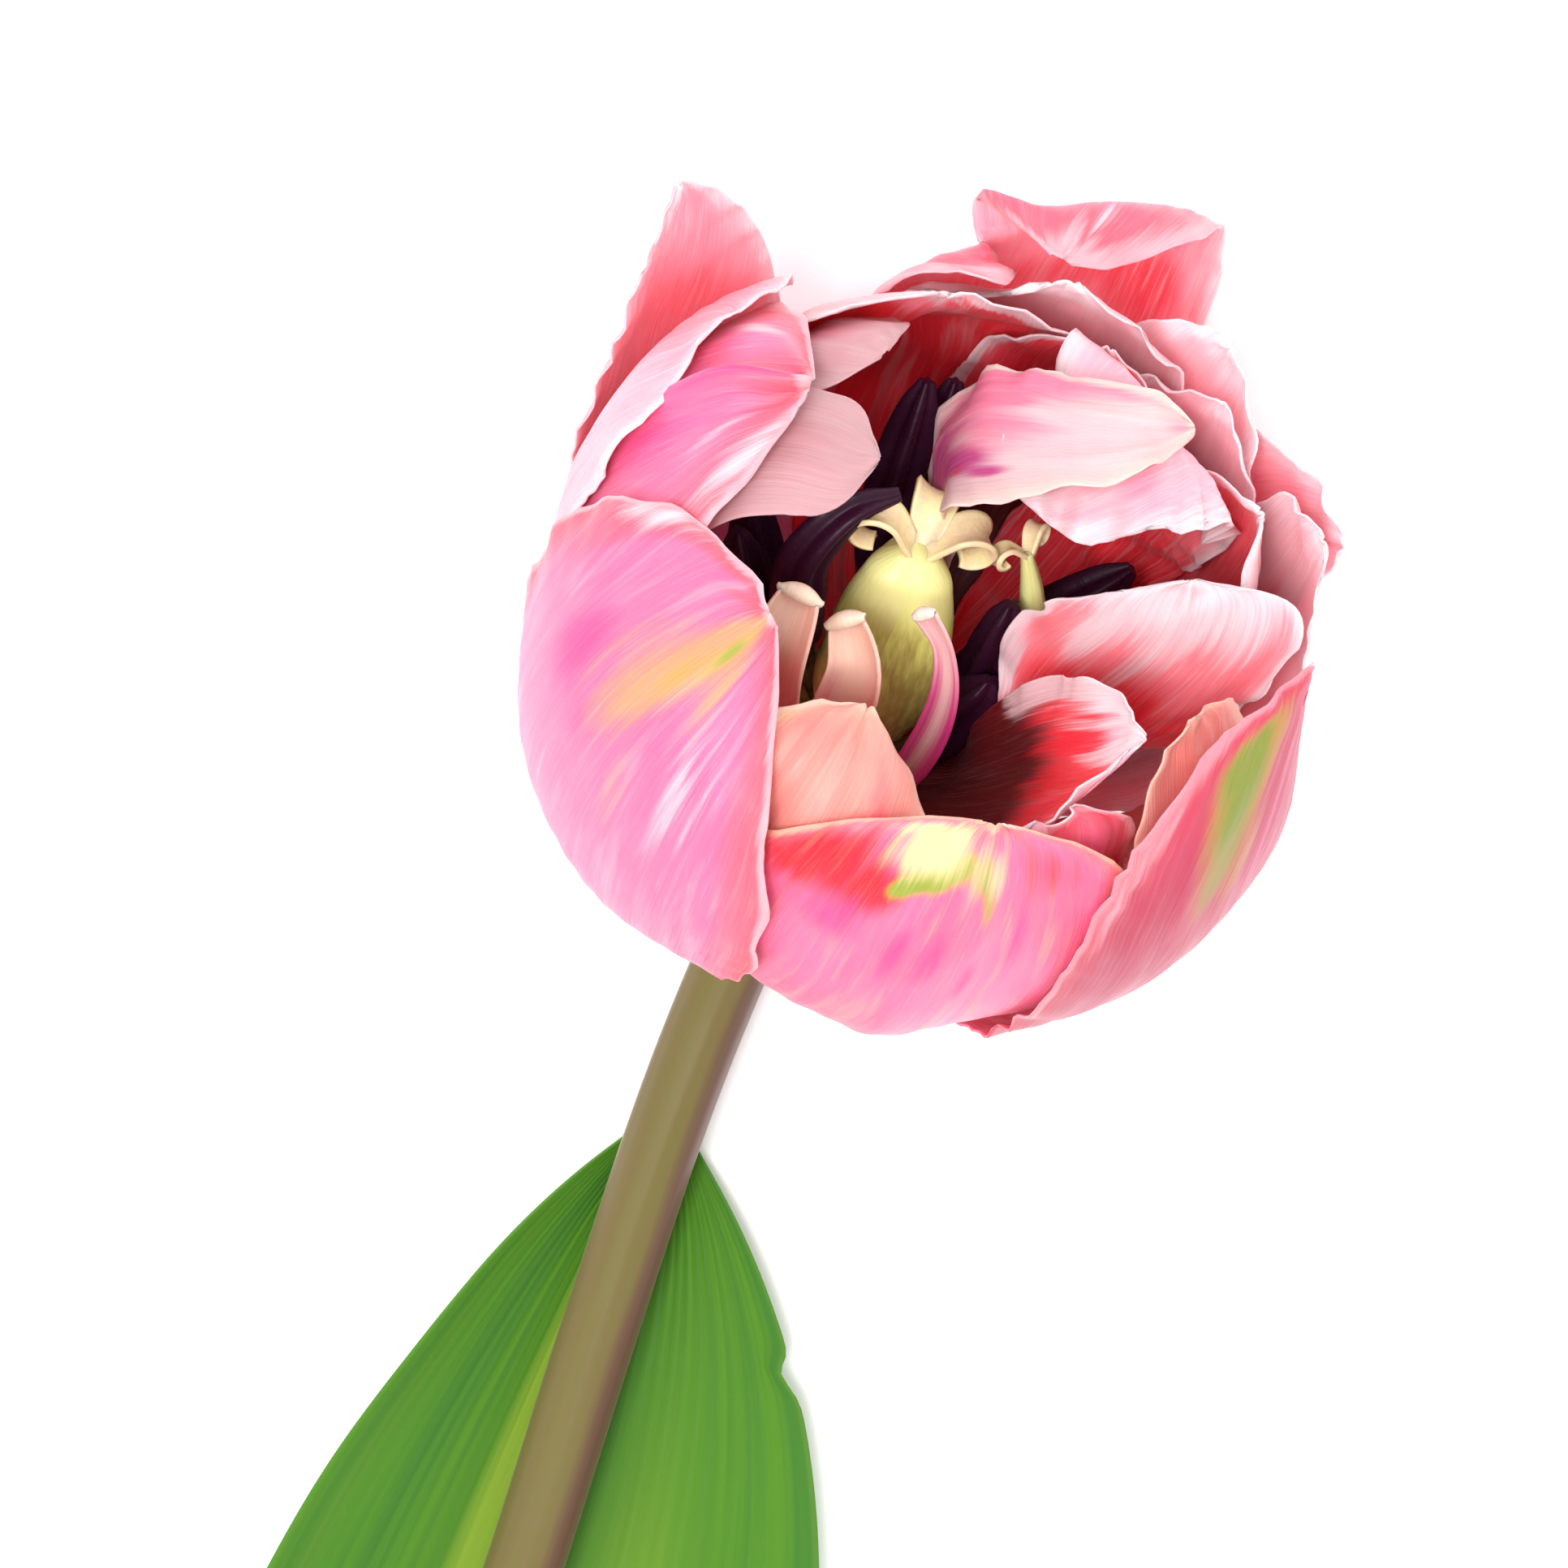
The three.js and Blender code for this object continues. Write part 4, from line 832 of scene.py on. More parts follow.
LOOKS = {
    # Its outer face takes the darker copy of rose, painted shade.
    "outer_right": look("coral", "shaded_rose", (1.0, 1.0),
        ow=[(-0.6, 0.2, 0.91, 0.06, 0.9), (-0.46, 0.18, 0.85, 0.07, 0.8), (-0.3, 0.14, 0.77, 0.06, 0.5),
            (-0.15, 0.06, 0.8, 0.08, 0.4)],
        og=[(-0.62, 0.14, 0.9, 0.045, 0.95), (-0.47, 0.11, 0.85, 0.055, 0.9), (-0.33, 0.08, 0.78, 0.055, 0.6)],
        od=[(0.1, 0.25, 0.74, 0.1, 0.6), (0.0, 0.2, 0.88, 0.1, 0.45)],
        op=[(-0.9, 0.07, 0.78, 0.1, 0.6), (0.3, 0.1, 0.85, 0.1, 0.35)], relief=[(-0.5, 0.14, 0.86, 0.12, 0.3)]),
    "outer_left": look("coral", "rose", (0.8, 0.7),
        ow=[(0.06, 0.2, 0.95, 0.07, 0.9), (-0.05, 0.15, 0.85, 0.08, 0.8), (-0.12, 0.13, 0.76, 0.07, 0.5),
            (0.3, 0.1, 0.9, 0.08, 0.45), (-0.3, 0.08, 0.84, 0.08, 0.4), (0.15, 0.1, 0.68, 0.08, 0.35)],
        og=[(0.1, 0.08, 0.94, 0.045, 0.68), (0.0, 0.07, 0.87, 0.05, 0.5), (-0.16, 0.04, 0.82, 0.04, 0.35)],
        od=[(-0.4, 0.2, 0.77, 0.1, 0.7), (-0.15, 0.08, 0.72, 0.06, 0.4), (0.3, 0.1, 0.72, 0.1, 0.35)],
        op=[(-0.9, 0.14, 0.93, 0.05, 0.6), (0.5, 0.2, 0.78, 0.15, 0.35), (-0.15, 0.08, 0.96, 0.04, 0.3)],
        relief=[(0.05, 0.12, 0.9, 0.1, 0.35), (-0.45, 0.2, 0.85, 0.15, -0.3)]),
    "outer_back": look("coral", "rose", (1.2, 2.5),
        id=[(0.5, 0.35, 0.6, 0.12, 0.8), (-0.6, 0.3, 0.66, 0.1, 0.7), (-0.1, 0.5, 0.7, 0.05, 0.6)],
        od=[(0.3, 0.5, 0.9, 0.05, 0.5), (0.2, 0.5, 0.8, 0.05, 0.35), (0.0, 0.7, 0.84, 0.04, 0.3)],
        ip=[(0.1, 0.7, 0.84, 0.06, 0.4)], op=[(-0.2, 0.3, 0.93, 0.04, 0.4)], ruffle=1.3),
    "spike": look("coral", "rose", (1.4, 1.0), id=[(0.2, 0.5, 0.82, 0.12, 0.4), (-0.45, 0.35, 0.74, 0.1, 0.5)],
        ip=[(0.9, 0.2, 0.8, 0.2, 0.7), (0.3, 0.3, 0.97, 0.05, 0.4)], rounding=0.8),
    "front": look("coral", "flamed", (0.8, 0.6),
        op=[(-0.34, 0.28, 0.95, 0.05, 1.0), (0.08, 0.08, 0.93, 0.05, 0.6), (-0.7, 0.2, 0.975, 0.02, 0.6),
            (0.22, 0.04, 0.84, 0.08, 0.5), (-0.12, 0.03, 0.84, 0.06, 0.5)],
        og=[(-0.1, 0.07, 0.94, 0.026, 0.85), (-0.2, 0.09, 0.915, 0.028, 0.95), (-0.3, 0.08, 0.895, 0.025, 0.9),
            (-0.37, 0.06, 0.875, 0.02, 0.6), (0.03, 0.045, 0.93, 0.035, 0.9), (0.08, 0.04, 0.885, 0.04, 0.7)],
        od=[(-0.74, 0.24, 0.88, 0.085, 0.95), (-0.42, 0.14, 0.86, 0.06, 0.7), (0.5, 0.35, 0.93, 0.06, 0.5)],
        ow=[(-0.5, 0.2, 0.79, 0.06, 0.6), (-0.05, 0.06, 0.78, 0.07, 0.8), (0.12, 0.05, 0.74, 0.06, 0.7),
            (0.3, 0.05, 0.82, 0.1, 0.7), (-0.2, 0.05, 0.77, 0.08, 0.7)],
        relief=[(-0.03, 0.05, 0.9, 0.12, 0.6), (0.1, 0.05, 0.85, 0.12, 0.4), (0.35, 0.07, 0.82, 0.14, 0.3)]),
    "right": look("coral", "blush", (2.4, 1.8), od=[(0, 0.5, 0.8, 0.1, 0.6)], ruffle=1.3),
    "back_right": look("bright", "blush", (2.6, 2.0), id=[(-0.2, 0.35, 0.78, 0.08, 0.6)], ruffle=1.3),
    "left_rim": look("coral", "coral", (1.8, 1.2), od=[(0.0, 0.9, 0.7, 0.12, 0.4)]),
    "back_rim": look("bright", "blush", (3.5, 2.0), id=[(-0.1, 0.4, 0.82, 0.05, 0.3)],
        ip=[(0.0, 1.0, 0.95, 0.06, 0.6)], ruffle=1.3, notch=1.2),
    "right_mid": look("bright", "blush", (3.0, 2.2), id=[(0.1, 0.6, 0.75, 0.08, 0.6)], ruffle=1.3),
    "right_rim": look("bright", "blush", (2.4, 2.0), id=[(0.0, 0.7, 0.72, 0.08, 0.7)], ruffle=1.3),
    "left_fold": look("coral", "rose", (1.2, 1.2),
        od=[(0.15, 0.2, 0.79, 0.1, 0.55), (-0.02, 0.04, 0.92, 0.1, 0.7), (-0.3, 0.12, 0.97, 0.04, 0.4)],
        op=[(0.75, 0.25, 0.94, 0.09, 0.6), (0.35, 0.06, 0.9, 0.07, 0.5), (-0.55, 0.1, 0.9, 0.08, 0.5)],
        relief=[(-0.02, 0.07, 0.92, 0.14, 1.6), (0.2, 0.12, 0.92, 0.1, -0.8), (-0.25, 0.12, 0.93, 0.1, -0.7)]),
    "back_red": look("crimson", "blush", (3.6, 1.6), 0.35, iw=[(0.0, 1.0, 0.94, 0.05, 0.5)]),
    "front_gap": look("peach", "peach", (1.6, 1.6), 0.6, od=[(0.2, 0.3, 0.85, 0.06, 0.5)]),
    "front_in": look("coral", "rose", (1.0, 1.0), 0.6),
    "front_left_in": look("peach", "peach", (1.2, 1.2), 0.4,
        od=[(0.45, 0.12, 0.85, 0.1, 0.7), (-0.3, 0.05, 0.85, 0.08, 0.5)], ow=[(-0.8, 0.2, 0.92, 0.06, 0.7)]),
    "back_small": look("crimson", "blush", (1.6, 1.6), 0.9),
    "right_in": look("red", "blush", (2.0, 2.0), 0.6),
    "left_curl": look("white", "white", (1.0, 6.0), 0.6, od=[(-0.6, 0.3, 0.85, 0.15, 0.25)], ruffle=0.6,
        rounding=2.6),
    "white_tip": look("white", "white", (1.5, 3.0), 0.7, od=[(-0.2, 0.25, 0.85, 0.12, 0.3)], ruffle=0.8),
    # Its deep mark in the middle of the inner face, with its dark root, is painted shade in the hollow.
    "front_right_in": look("crimson", "coral", (4.6, 1.4), 0.75, id=[(0, 0.9, 0.5, 0.3, 0.5)],
        iw=[(0.3, 0.6, 0.93, 0.06, 0.6)], ip=[(0.5, 0.3, 0.98, 0.03, 0.5)], ruffle=0.8, narrow=1.4),
    "partition": look("blush", "red", (1.6, 10.5), 0.7, od=[(0.0, 0.9, 0.62, 0.12, 0.9)],
        ow=[(0.2, 0.6, 0.8, 0.05, 0.4)], narrow=8.0),
    "hood": look("red", "coral", (1.6, 2.6), 0.7, op=[(-0.2, 0.35, 0.95, 0.05, 0.4)],
        od=[(0.3, 0.3, 0.84, 0.05, 0.6)], ow=[(-0.4, 0.4, 0.86, 0.04, 0.5)], ruffle=4.5, notch=2.6),
    "petaloid": look("cream", "cream", (1.0, 1.0),
        id=[(0.0, 0.8, 0.54, 0.07, 1.0), (-0.45, 0.14, 0.64, 0.06, 0.9), (-0.6, 0.05, 0.7, 0.04, 0.8),
            (-0.1, 0.04, 0.62, 0.06, 0.7)],
        iw=[(0.6, 0.35, 0.72, 0.14, 0.85), (0.15, 0.12, 0.62, 0.1, 0.8), (-0.2, 0.2, 0.7, 0.1, 0.6),
            (0.75, 0.2, 0.9, 0.08, 0.5), (0.3, 0.5, 0.62, 0.1, 0.8), (0.0, 0.5, 0.98, 0.04, 0.4)],
        ig=[(-0.55, 0.08, 0.62, 0.03, 0.6)], relief=[(0.1, 0.2, 0.85, 0.1, -1.2), (-0.35, 0.15, 0.82, 0.12, 0.7)],
        ruffle=1.2),
}
RINGS = {
    "outer": ["outer_right", "outer_left", "outer_back", "spike"],
    "second": ["front", "right", "back_right", "left_rim", "back_rim", "right_mid", "right_rim"],
    "inner": ["left_fold", "back_red", "front_gap", "front_in", "front_left_in", "back_small", "right_in"],
    "folded": ["left_curl", "white_tip", "front_right_in", "partition", "hood", "petaloid"],
}
_bloom = {}


def bloom():
    """Middle faces of the parted petals and paths of the round pieces, made once."""
    if not _bloom:
        faces = part_petals({name: petal_face(d) for name, d in PETALS.items()})
        _bloom.update(faces=faces, rods=clear_rods(faces))
    return _bloom["faces"], _bloom["rods"]


# Distance from the rim, in margin widths, that counts as far from it
FAR_FROM_RIM = 9.0

# Finer petals: points for each cell's side, step along the margin, how far inwards the rounding of the margin
# reaches, width of a pleat, length of a ruffle and width of the rounded rim, in millimetres, what lies between two
# petals' places in the noise, and how much thinner the margin is
FINER_PETAL = 7
MARGIN_STEP = 0.3
MARGIN_REACH = 4
PLEAT_WIDTH = 4.2
RUFFLE_LENGTH = 11
PETAL_RIM = 0.12
NOISE_STRIDE = 7.3
MARGIN_THINNING = 0.45


def rounded_margin(face, reach):
    """The face with the corners of its margin rounded over about reach millimetres, the root left as it is."""
    rows, cols = face.shape[:2]
    first = rows // 3
    left = [(i, 0) for i in range(first, rows)]
    tip = [(rows - 1, j) for j in range(1, cols - 1)]
    right = [(i, cols - 1) for i in range(rows - 1, first - 1, -1)]
    i, j = np.array(left + tip + right).T
    margin = face[i, j]
    at = np.r_[0, np.cumsum(np.linalg.norm(np.diff(margin, axis=0), axis=1))]
    even = np.arange(0, at[-1], MARGIN_STEP)
    pad = int(4 * reach / MARGIN_STEP)
    kernel = np.exp(-((np.arange(-pad, pad + 1) * MARGIN_STEP / reach) ** 2) / 2)
    moved = np.zeros_like(margin)
    for k in range(3):
        line_k = np.interp(even, at, margin[:, k])
        wide = np.r_[2 * line_k[0] - line_k[pad:0:-1], line_k, 2 * line_k[-1] - line_k[-2:-pad - 2:-1]]
        moved[:, k] = np.interp(at, even, np.convolve(wide, kernel / kernel.sum(), "valid")) - margin[:, k]
    shift = np.zeros_like(face)
    shift[i, j] = moved
    across, along = grid_lengths(face)
    near = [np.exp(-((d / MARGIN_REACH) ** 2)) for d in (across, across[:, -1:] - across, along[-1:] - along)]
    total = np.maximum(sum(near), 1)
    parts = (shift[:, :1], shift[:, -1:], shift[-1:])
    return face + sum((w / total)[..., None] * part for w, part in zip(near, parts))


def petal(name):
    """One petal as a thin blade with pleats, a ruffled margin and its colour marks."""
    sizes = bpy.context.scene.tulip_sizes
    d, looks = PETALS[name], LOOKS[name]
    seed = list(PETALS).index(name) + 3
    coarse = in_flower(bloom()[0][name])
    rows, cols = ((k - 1) * FINER_PETAL + 1 for k in coarse.shape[:2])
    face = rounded_margin(finer(coarse, rows, cols), looks["rounding"])
    u, s = grid_places(rows, cols)
    t, edge = 1 - (1 - u) ** ROW_CROWDING, np.abs(s)
    across, along = grid_lengths(face)
    wide = across[:, -1:]
    to_side, to_tip = np.minimum(across, wide - across), along[-1:] - along
    to_edge = np.minimum(to_side, to_tip)
    x = s * d["half"] * (wide / wide.max()) ** 0.6
    vein = np.stack([x, np.repeat(along[:, cols // 2:cols // 2 + 1], cols, 1),
                     np.full_like(s, NOISE_STRIDE * seed)], 2)
    grown = smooth(t, 0.12, 0.45)
    pleats = np.sin(2 * math.pi * (x / PLEAT_WIDTH + 0.5 * soft_noise(seed, 2 * t, s))) * smooth(to_edge, 0, 3)
    lift = sizes.pleat_depth * 1000 * grown * pleats * (0.6 + 0.4 * soft_noise(seed + 50, 1.5 * t, 2 * s))
    lift += 0.35 * grown * soft_noise(seed + 100, 2.2 * t, 1.3 * s)
    margin_at = np.sign(s) * to_tip / RUFFLE_LENGTH
    ruffle = np.sin(2 * math.pi * (margin_at + 0.5 * soft_noise(seed + 150, margin_at / 2.2, 0 * s)))
    ruffle += 0.4 * np.sin(2 * math.pi * (2.3 * margin_at + 0.5 * soft_noise(seed + 160, margin_at, 0 * s)))
    held = grown * smooth(wide, 1, 9)
    lift += sizes.ruffle_depth * 1000 * looks["ruffle"] * ruffle * np.exp(-to_edge / (2 + looks["ruffle"])) * held
    for *place, depth in looks["relief"]:
        lift -= depth * spot(s, t, *place)
    face = face + grid_normals(face) * lift[..., None]
    pull = np.maximum(soft_noise(seed + 200, 9 * t + 3 * np.sign(s), 0 * s), 0) * edge**12 * held * looks["notch"]
    face = face - unit(np.gradient(face, axis=1)) * (np.sign(s) * pull)[..., None]
    thick = sizes.petal_thickness * 1000 * (1 - MARGIN_THINNING * np.maximum(edge**5, smooth(t, 0.8, 1))) / 2
    ragged = 1 + 0.35 * soft_noise(seed + 300, 3 * t, 3 * s)
    to_edge = np.minimum(looks["narrow"] * to_side, to_tip)
    painted = []
    for side, margin in zip("io", looks["margin"]):
        m = np.zeros((rows, cols, 4))
        if side == "o":
            m[..., 3] = 0.9 * (1 - smooth(t, 0.04, 0.2))
        else:
            # The inner face darkens towards its root: painted shade deep in the cup.
            m[..., 0] = looks["root"] * (1 - smooth(t, 0.4, 0.8))
        for k, colour in enumerate("dwgp"):
            for *place, amount in looks["marks"].get(side + colour, ()):
                m[..., k] += amount * spot(s, t, *place)
        painted += [np.clip(m, 0, 1), to_edge / margin * ragged + 6 * (1 - smooth(t, 0.3, 0.6))]
    obj = blade_object("petal_" + name, face, thick, PETAL_RIM, vein, *painted)
    finish_piece(obj, [petal_skin(looks["inside"]), petal_skin(looks["outside"])],
                 "petaloid" if name == "petaloid" else "petal", "petal_" + name)


def grooved_rod_tree():
    """Geometry Nodes tree that sweeps a grooved profile along a path and strews grains on its swollen part."""
    tree = bpy.data.node_groups.new("grooved rod", "GeometryNodeTree")
    add_sockets(tree, "INPUT", Geometry=["Geometry"], Int=["Sides", "Lobes", "Seed"],
                Float=["Groove Depth", "Grain Density", "Grain Size"], Material=["Filament", "Anther", "Grain"])
    add_sockets(tree, "OUTPUT", Geometry=["Geometry"])
    n = Nodes(tree)
    given, out = n.add("NodeGroupInput").outputs, n.add("NodeGroupOutput").inputs
    wide = n.first("GeometryNodeInputNamedAttribute", "wide", data_type="FLOAT")
    path = n.first("GeometryNodeMeshToCurve", given["Geometry"])
    ring = n.first("GeometryNodeCurvePrimitiveCircle", given["Sides"], named={"Radius": 1.0})
    at = n.add("GeometryNodeSplineParameter").outputs["Factor"]
    wave = n.math("COSINE", n.times(n.times(at, 2 * math.pi), given["Lobes"]))
    swell = n.math("MULTIPLY_ADD", wave, given["Groove Depth"], 1.0)
    place = n.first("GeometryNodeInputPosition")
    place = n.first("ShaderNodeVectorMath", place, operation="SCALE", named={"Scale": swell})
    ring = n.first("GeometryNodeSetPosition", ring, named={"Position": place})
    body = n.first("GeometryNodeCurveToMesh", path, ring, named={"Scale": wide, "Fill Caps": True})
    anther = n.first("GeometryNodeInputNamedAttribute", "anther", data_type="FLOAT")
    is_anther = n.first("FunctionNodeCompare", anther, 0.5, data_type="FLOAT", operation="GREATER_THAN")
    body = n.first("GeometryNodeSetShadeSmooth", body)
    body = n.first("GeometryNodeSetMaterial", body, named={"Material": given["Filament"]})
    body = n.first("GeometryNodeSetMaterial", body, is_anther, named={"Material": given["Anther"]})
    dots = n.first("GeometryNodeDistributePointsOnFaces", body, is_anther,
                   named={"Density": given["Grain Density"], "Seed": given["Seed"]})
    grain = n.first("GeometryNodeMeshIcoSphere", given["Grain Size"], 1)
    grain = n.first("GeometryNodeSetMaterial", grain, named={"Material": given["Grain"]})
    grains = n.first("GeometryNodeInstanceOnPoints", dots, named={"Instance": grain})
    grains = n.first("GeometryNodeRealizeInstances", grains)
    joined = n.add("GeometryNodeJoinGeometry")
    tree.links.new(grains, joined.inputs[0])
    tree.links.new(body, joined.inputs[0])
    tree.links.new(joined.outputs[0], out[0])
    return tree


def through_tree(name, source, tree, **values):
    """Plain mesh that a Geometry Nodes tree makes from a source object, which is then removed."""
    modifier = source.modifiers.new("shape", "NODES")
    modifier.node_group = tree
    for item in tree.interface.items_tree:
        key = item.name.replace(" ", "_").lower()
        if item.in_out == "INPUT" and key in values:
            modifier[item.identifier] = values[key]
    bpy.context.view_layer.update()
    evaluated = source.evaluated_get(bpy.context.evaluated_depsgraph_get())
    mesh = bpy.data.meshes.new_from_object(evaluated)
    mesh.name = name
    bpy.data.objects.remove(source)
    obj = bpy.data.objects.new(name, mesh)
    bpy.context.scene.collection.objects.link(obj)
    return obj


# Stamens: points along one, how much thicker than the solid's it is, where its anther starts as a share of its
# length, sides and grooves of its section, and size of a grain of pollen in metres
STAMEN_POINTS = 60
ANTHER_SWELL = 1.26
ANTHER_START = 0.4
ANTHER_SIDES, ANTHER_LOBES = 36, 4
GRAIN_SIZE = 0.00007


def stamen(name, tree, seed):
    """One stamen swept along its path, with a grooved anther and pollen."""
    sizes, c = bpy.context.scene.tulip_sizes, bpy.context.scene.tulip_colours
    path, radii = smooth_path(bloom()[1]["stamen_" + name], ANTHER_RADII, STAMEN_POINTS)
    path = in_row(in_flower(path))
    t = np.linspace(0, 1, len(path))
    source = mesh_object("path", path, [], wide=radii * 0.001 * ANTHER_SWELL, anther=(t > ANTHER_START).astype(float),
                         vein=np.stack([0 * t, t * 40, np.full(len(t), float(seed))], 1),
                         marks=first_mark(smooth(t, 0.1, 0.4)))
    k = np.arange(len(path) - 1)
    source.data.edges.add(len(k))
    source.data.edges.foreach_set("vertices", np.stack([k, k + 1], 1).ravel())
    source.data.update()
    filament = plant_material("filament skin", tone(176, 168, 92), tone(120, 84, 96), tone(58, 20, 52), 1.0, 0.5,
                              Specular_IOR_Level=0.5)
    anther = plant_material("anther skin", c.anther, tone(56, 16, 44), tone(44, 12, 34), 1.0, 0.6, 0.5,
                            Specular_IOR_Level=0.16)
    grain = plant_material("pollen", tone(60, 22, 56), tone(84, 40, 76), tone(60, 22, 56), 3.0, 3.0,
                           Specular_IOR_Level=0.3)
    obj = through_tree("stamen_" + name, source, tree, sides=ANTHER_SIDES, lobes=ANTHER_LOBES,
                       groove_depth=sizes.anther_groove, grain_density=sizes.pollen_density, grain_size=GRAIN_SIZE,
                       seed=seed, filament=filament, anther=anther, grain=grain)
    finish_piece(obj, [], "anther", "stamen_" + name)


# Curls and ribbon: points along the straight part and the rolled tip, how much tighter the tip rolls at its end, how
# much narrower it is there, and width of the rounded rim in millimetres
RIBBON_POINTS, ROLL_POINTS = 44, 26
ROLL_TIGHTENING = 0.55
ROLL_NARROWING = 0.7
RIBBON_RIM = 0.08


def sheet_rod(path, radii, width, arc, sides, tip_turns, tip_radius, flare=None):
    """Middle face of a ribbon along a path with a gutter section and a tip that curls over, in bloom axes."""
    path, radii = smooth_path(path, radii, RIBBON_POINTS)
    ahead = slopes(path)
    side = unit(np.cross(ahead[0], [0.3, 1, 0.2]))
    frames = []
    for i in range(len(path)):
        side = unit(side - ahead[i] * (side @ ahead[i]))
        frames.append((side, np.cross(ahead[i], side)))
    end, out = path[-1], frames[-1][1]
    turns = np.linspace(0, tip_turns * 2 * math.pi, ROLL_POINTS)[1:]
    r = tip_radius * (1 - ROLL_TIGHTENING * turns / turns[-1])
    middle = end + out * tip_radius
    curl = [middle - out * (q * math.cos(a)) + ahead[-1] * (q * math.sin(a)) for a, q in zip(turns, r)]
    spine = np.vstack([path, curl])
    end_width = radii[-1] * width
    half = np.r_[radii * width, np.linspace(end_width, end_width * ROLL_NARROWING, len(curl))]
    if flare is not None:
        half = half * flare(np.linspace(0, 1, len(half)))
    ahead = slopes(spine)
    side = frames[0][0]
    rows = []
    for i, p in enumerate(spine):
        side = unit(side - ahead[i] * (side @ ahead[i]))
        up = np.cross(ahead[i], side)
        bent = arc * min(1.0, (len(spine) - i) / len(curl))
        a = np.linspace(-1, 1, sides) * bent
        radius = half[i] / max(bent, 0.2)
        rows.append(p + side * (radius * np.sin(a))[:, None] + up * (radius * (1 - np.cos(a)))[:, None])
    return np.array(rows)


def ribbon_object(name, face, thickness, finish, slot, streak):
    """Curl or ribbon as a thin blade, streaked towards its foot and paler towards its tip."""
    face = in_flower(face)
    rows, cols = face.shape[:2]
    t, s = grid_places(rows, cols)
    vein = np.stack([s * 3, t * 30, np.full_like(s, float(len(name)))], 2)
    marks = np.zeros((rows, cols, 4))
    marks[..., 0] = streak * (1 - smooth(t, 0.3, 0.75)) * (0.3 + 0.7 * np.abs(s))
    marks[..., 3] = 0.6 * smooth(t, 0.5, 0.9)
    rim = np.full((rows, cols), FAR_FROM_RIM)
    obj = blade_object(name, face, np.full((rows, cols), thickness / 2), RIBBON_RIM, vein, marks, rim, marks, rim)
    finish_piece(obj, [petal_skin(finish), petal_skin(finish)], slot, name)


def spread_tip(t):
    """Width of a curl along its length, wider towards its tip."""
    return 1 + 0.7 * smooth(t, 0.45, 0.8)


def curled_petaloids():
    """The two cream curls and the ribbon in front of the pistil."""
    rods = bloom()[1]
    for name, width, arc, streak in (("curl_left", 2.2, 1.2, 0.35), ("curl_middle", 1.9, 1.0, 0.8)):
        face = sheet_rod(rods[name], CURL_RADII, width, arc, 17, 0.95, 1.15, spread_tip)
        ribbon_object(name, face, 0.4, "curl", "curl", streak)
    face = sheet_rod(rods["ribbon_petaloid"], RODS["ribbon_petaloid"][1], 1.6, 1.2, 13, 0.6, 0.9)
    ribbon_object("ribbon_petaloid", face, 0.45, "ribbon", "petaloid", 1.0)


def lobe_face(centre, axis, azimuth, size, seed):
    """Middle face of one lobe of the stigma, which rises outwards from the tip and rolls over."""
    axis = unit(np.array(axis, float))
    turn = math.radians(azimuth)
    out = np.array([math.cos(turn), math.sin(turn), 0])
    out = unit(out - axis * (out @ axis))
    side = np.cross(axis, out)
    rows, cols = 40, 13
    v = np.linspace(0, 1, rows)
    heading = np.radians(48 - 250 * np.clip((v - 0.3) / 0.7, 0, 1))
    step = size * (0.21 - 0.1 * v)
    reach = -0.1 * size + np.cumsum(step * np.cos(heading))
    rise = -0.75 * size + np.cumsum(step * np.sin(heading))
    half = size * (0.5 + 0.62 * np.sin(math.pi * np.clip(0.15 + 0.75 * v, 0, 1)) ** 2)
    s = np.linspace(-1, 1, cols)
    wave = 0.09 * size * np.sin(9 * v + seed)[:, None] * np.sign(s) * s**2
    up = -np.sin(heading)[:, None] * out + np.cos(heading)[:, None] * axis
    spine = centre + reach[:, None] * out + rise[:, None] * axis
    dip = (0.3 * half[:, None] * s**2 + wave)[..., None]
    return spine[:, None] + (half[:, None] * s)[..., None] * side + dip * up[:, None]


def sheet_body(face, thickness):
    """Points and quads of a thin closed blade about a middle face."""
    rows, cols = face.shape[:2]
    size = rows * cols
    n = grid_normals(face) * thickness / 2
    top, at = cells(rows, cols), border(rows, cols)
    ahead = np.roll(at, -1)
    faces = np.vstack([top, top[:, ::-1] + size, np.stack([at, ahead, ahead + size, at + size], 1)])
    return np.vstack([(face + n).reshape(-1, 3), (face - n).reshape(-1, 3)]), faces


# Pistil: sides of its section, and thickness in millimetres of its rolled lobes and how much their foot is marked
OVARY_SIDES = 60
LOBE_THICKNESS = 0.6
LOBE_MARK = 0.2


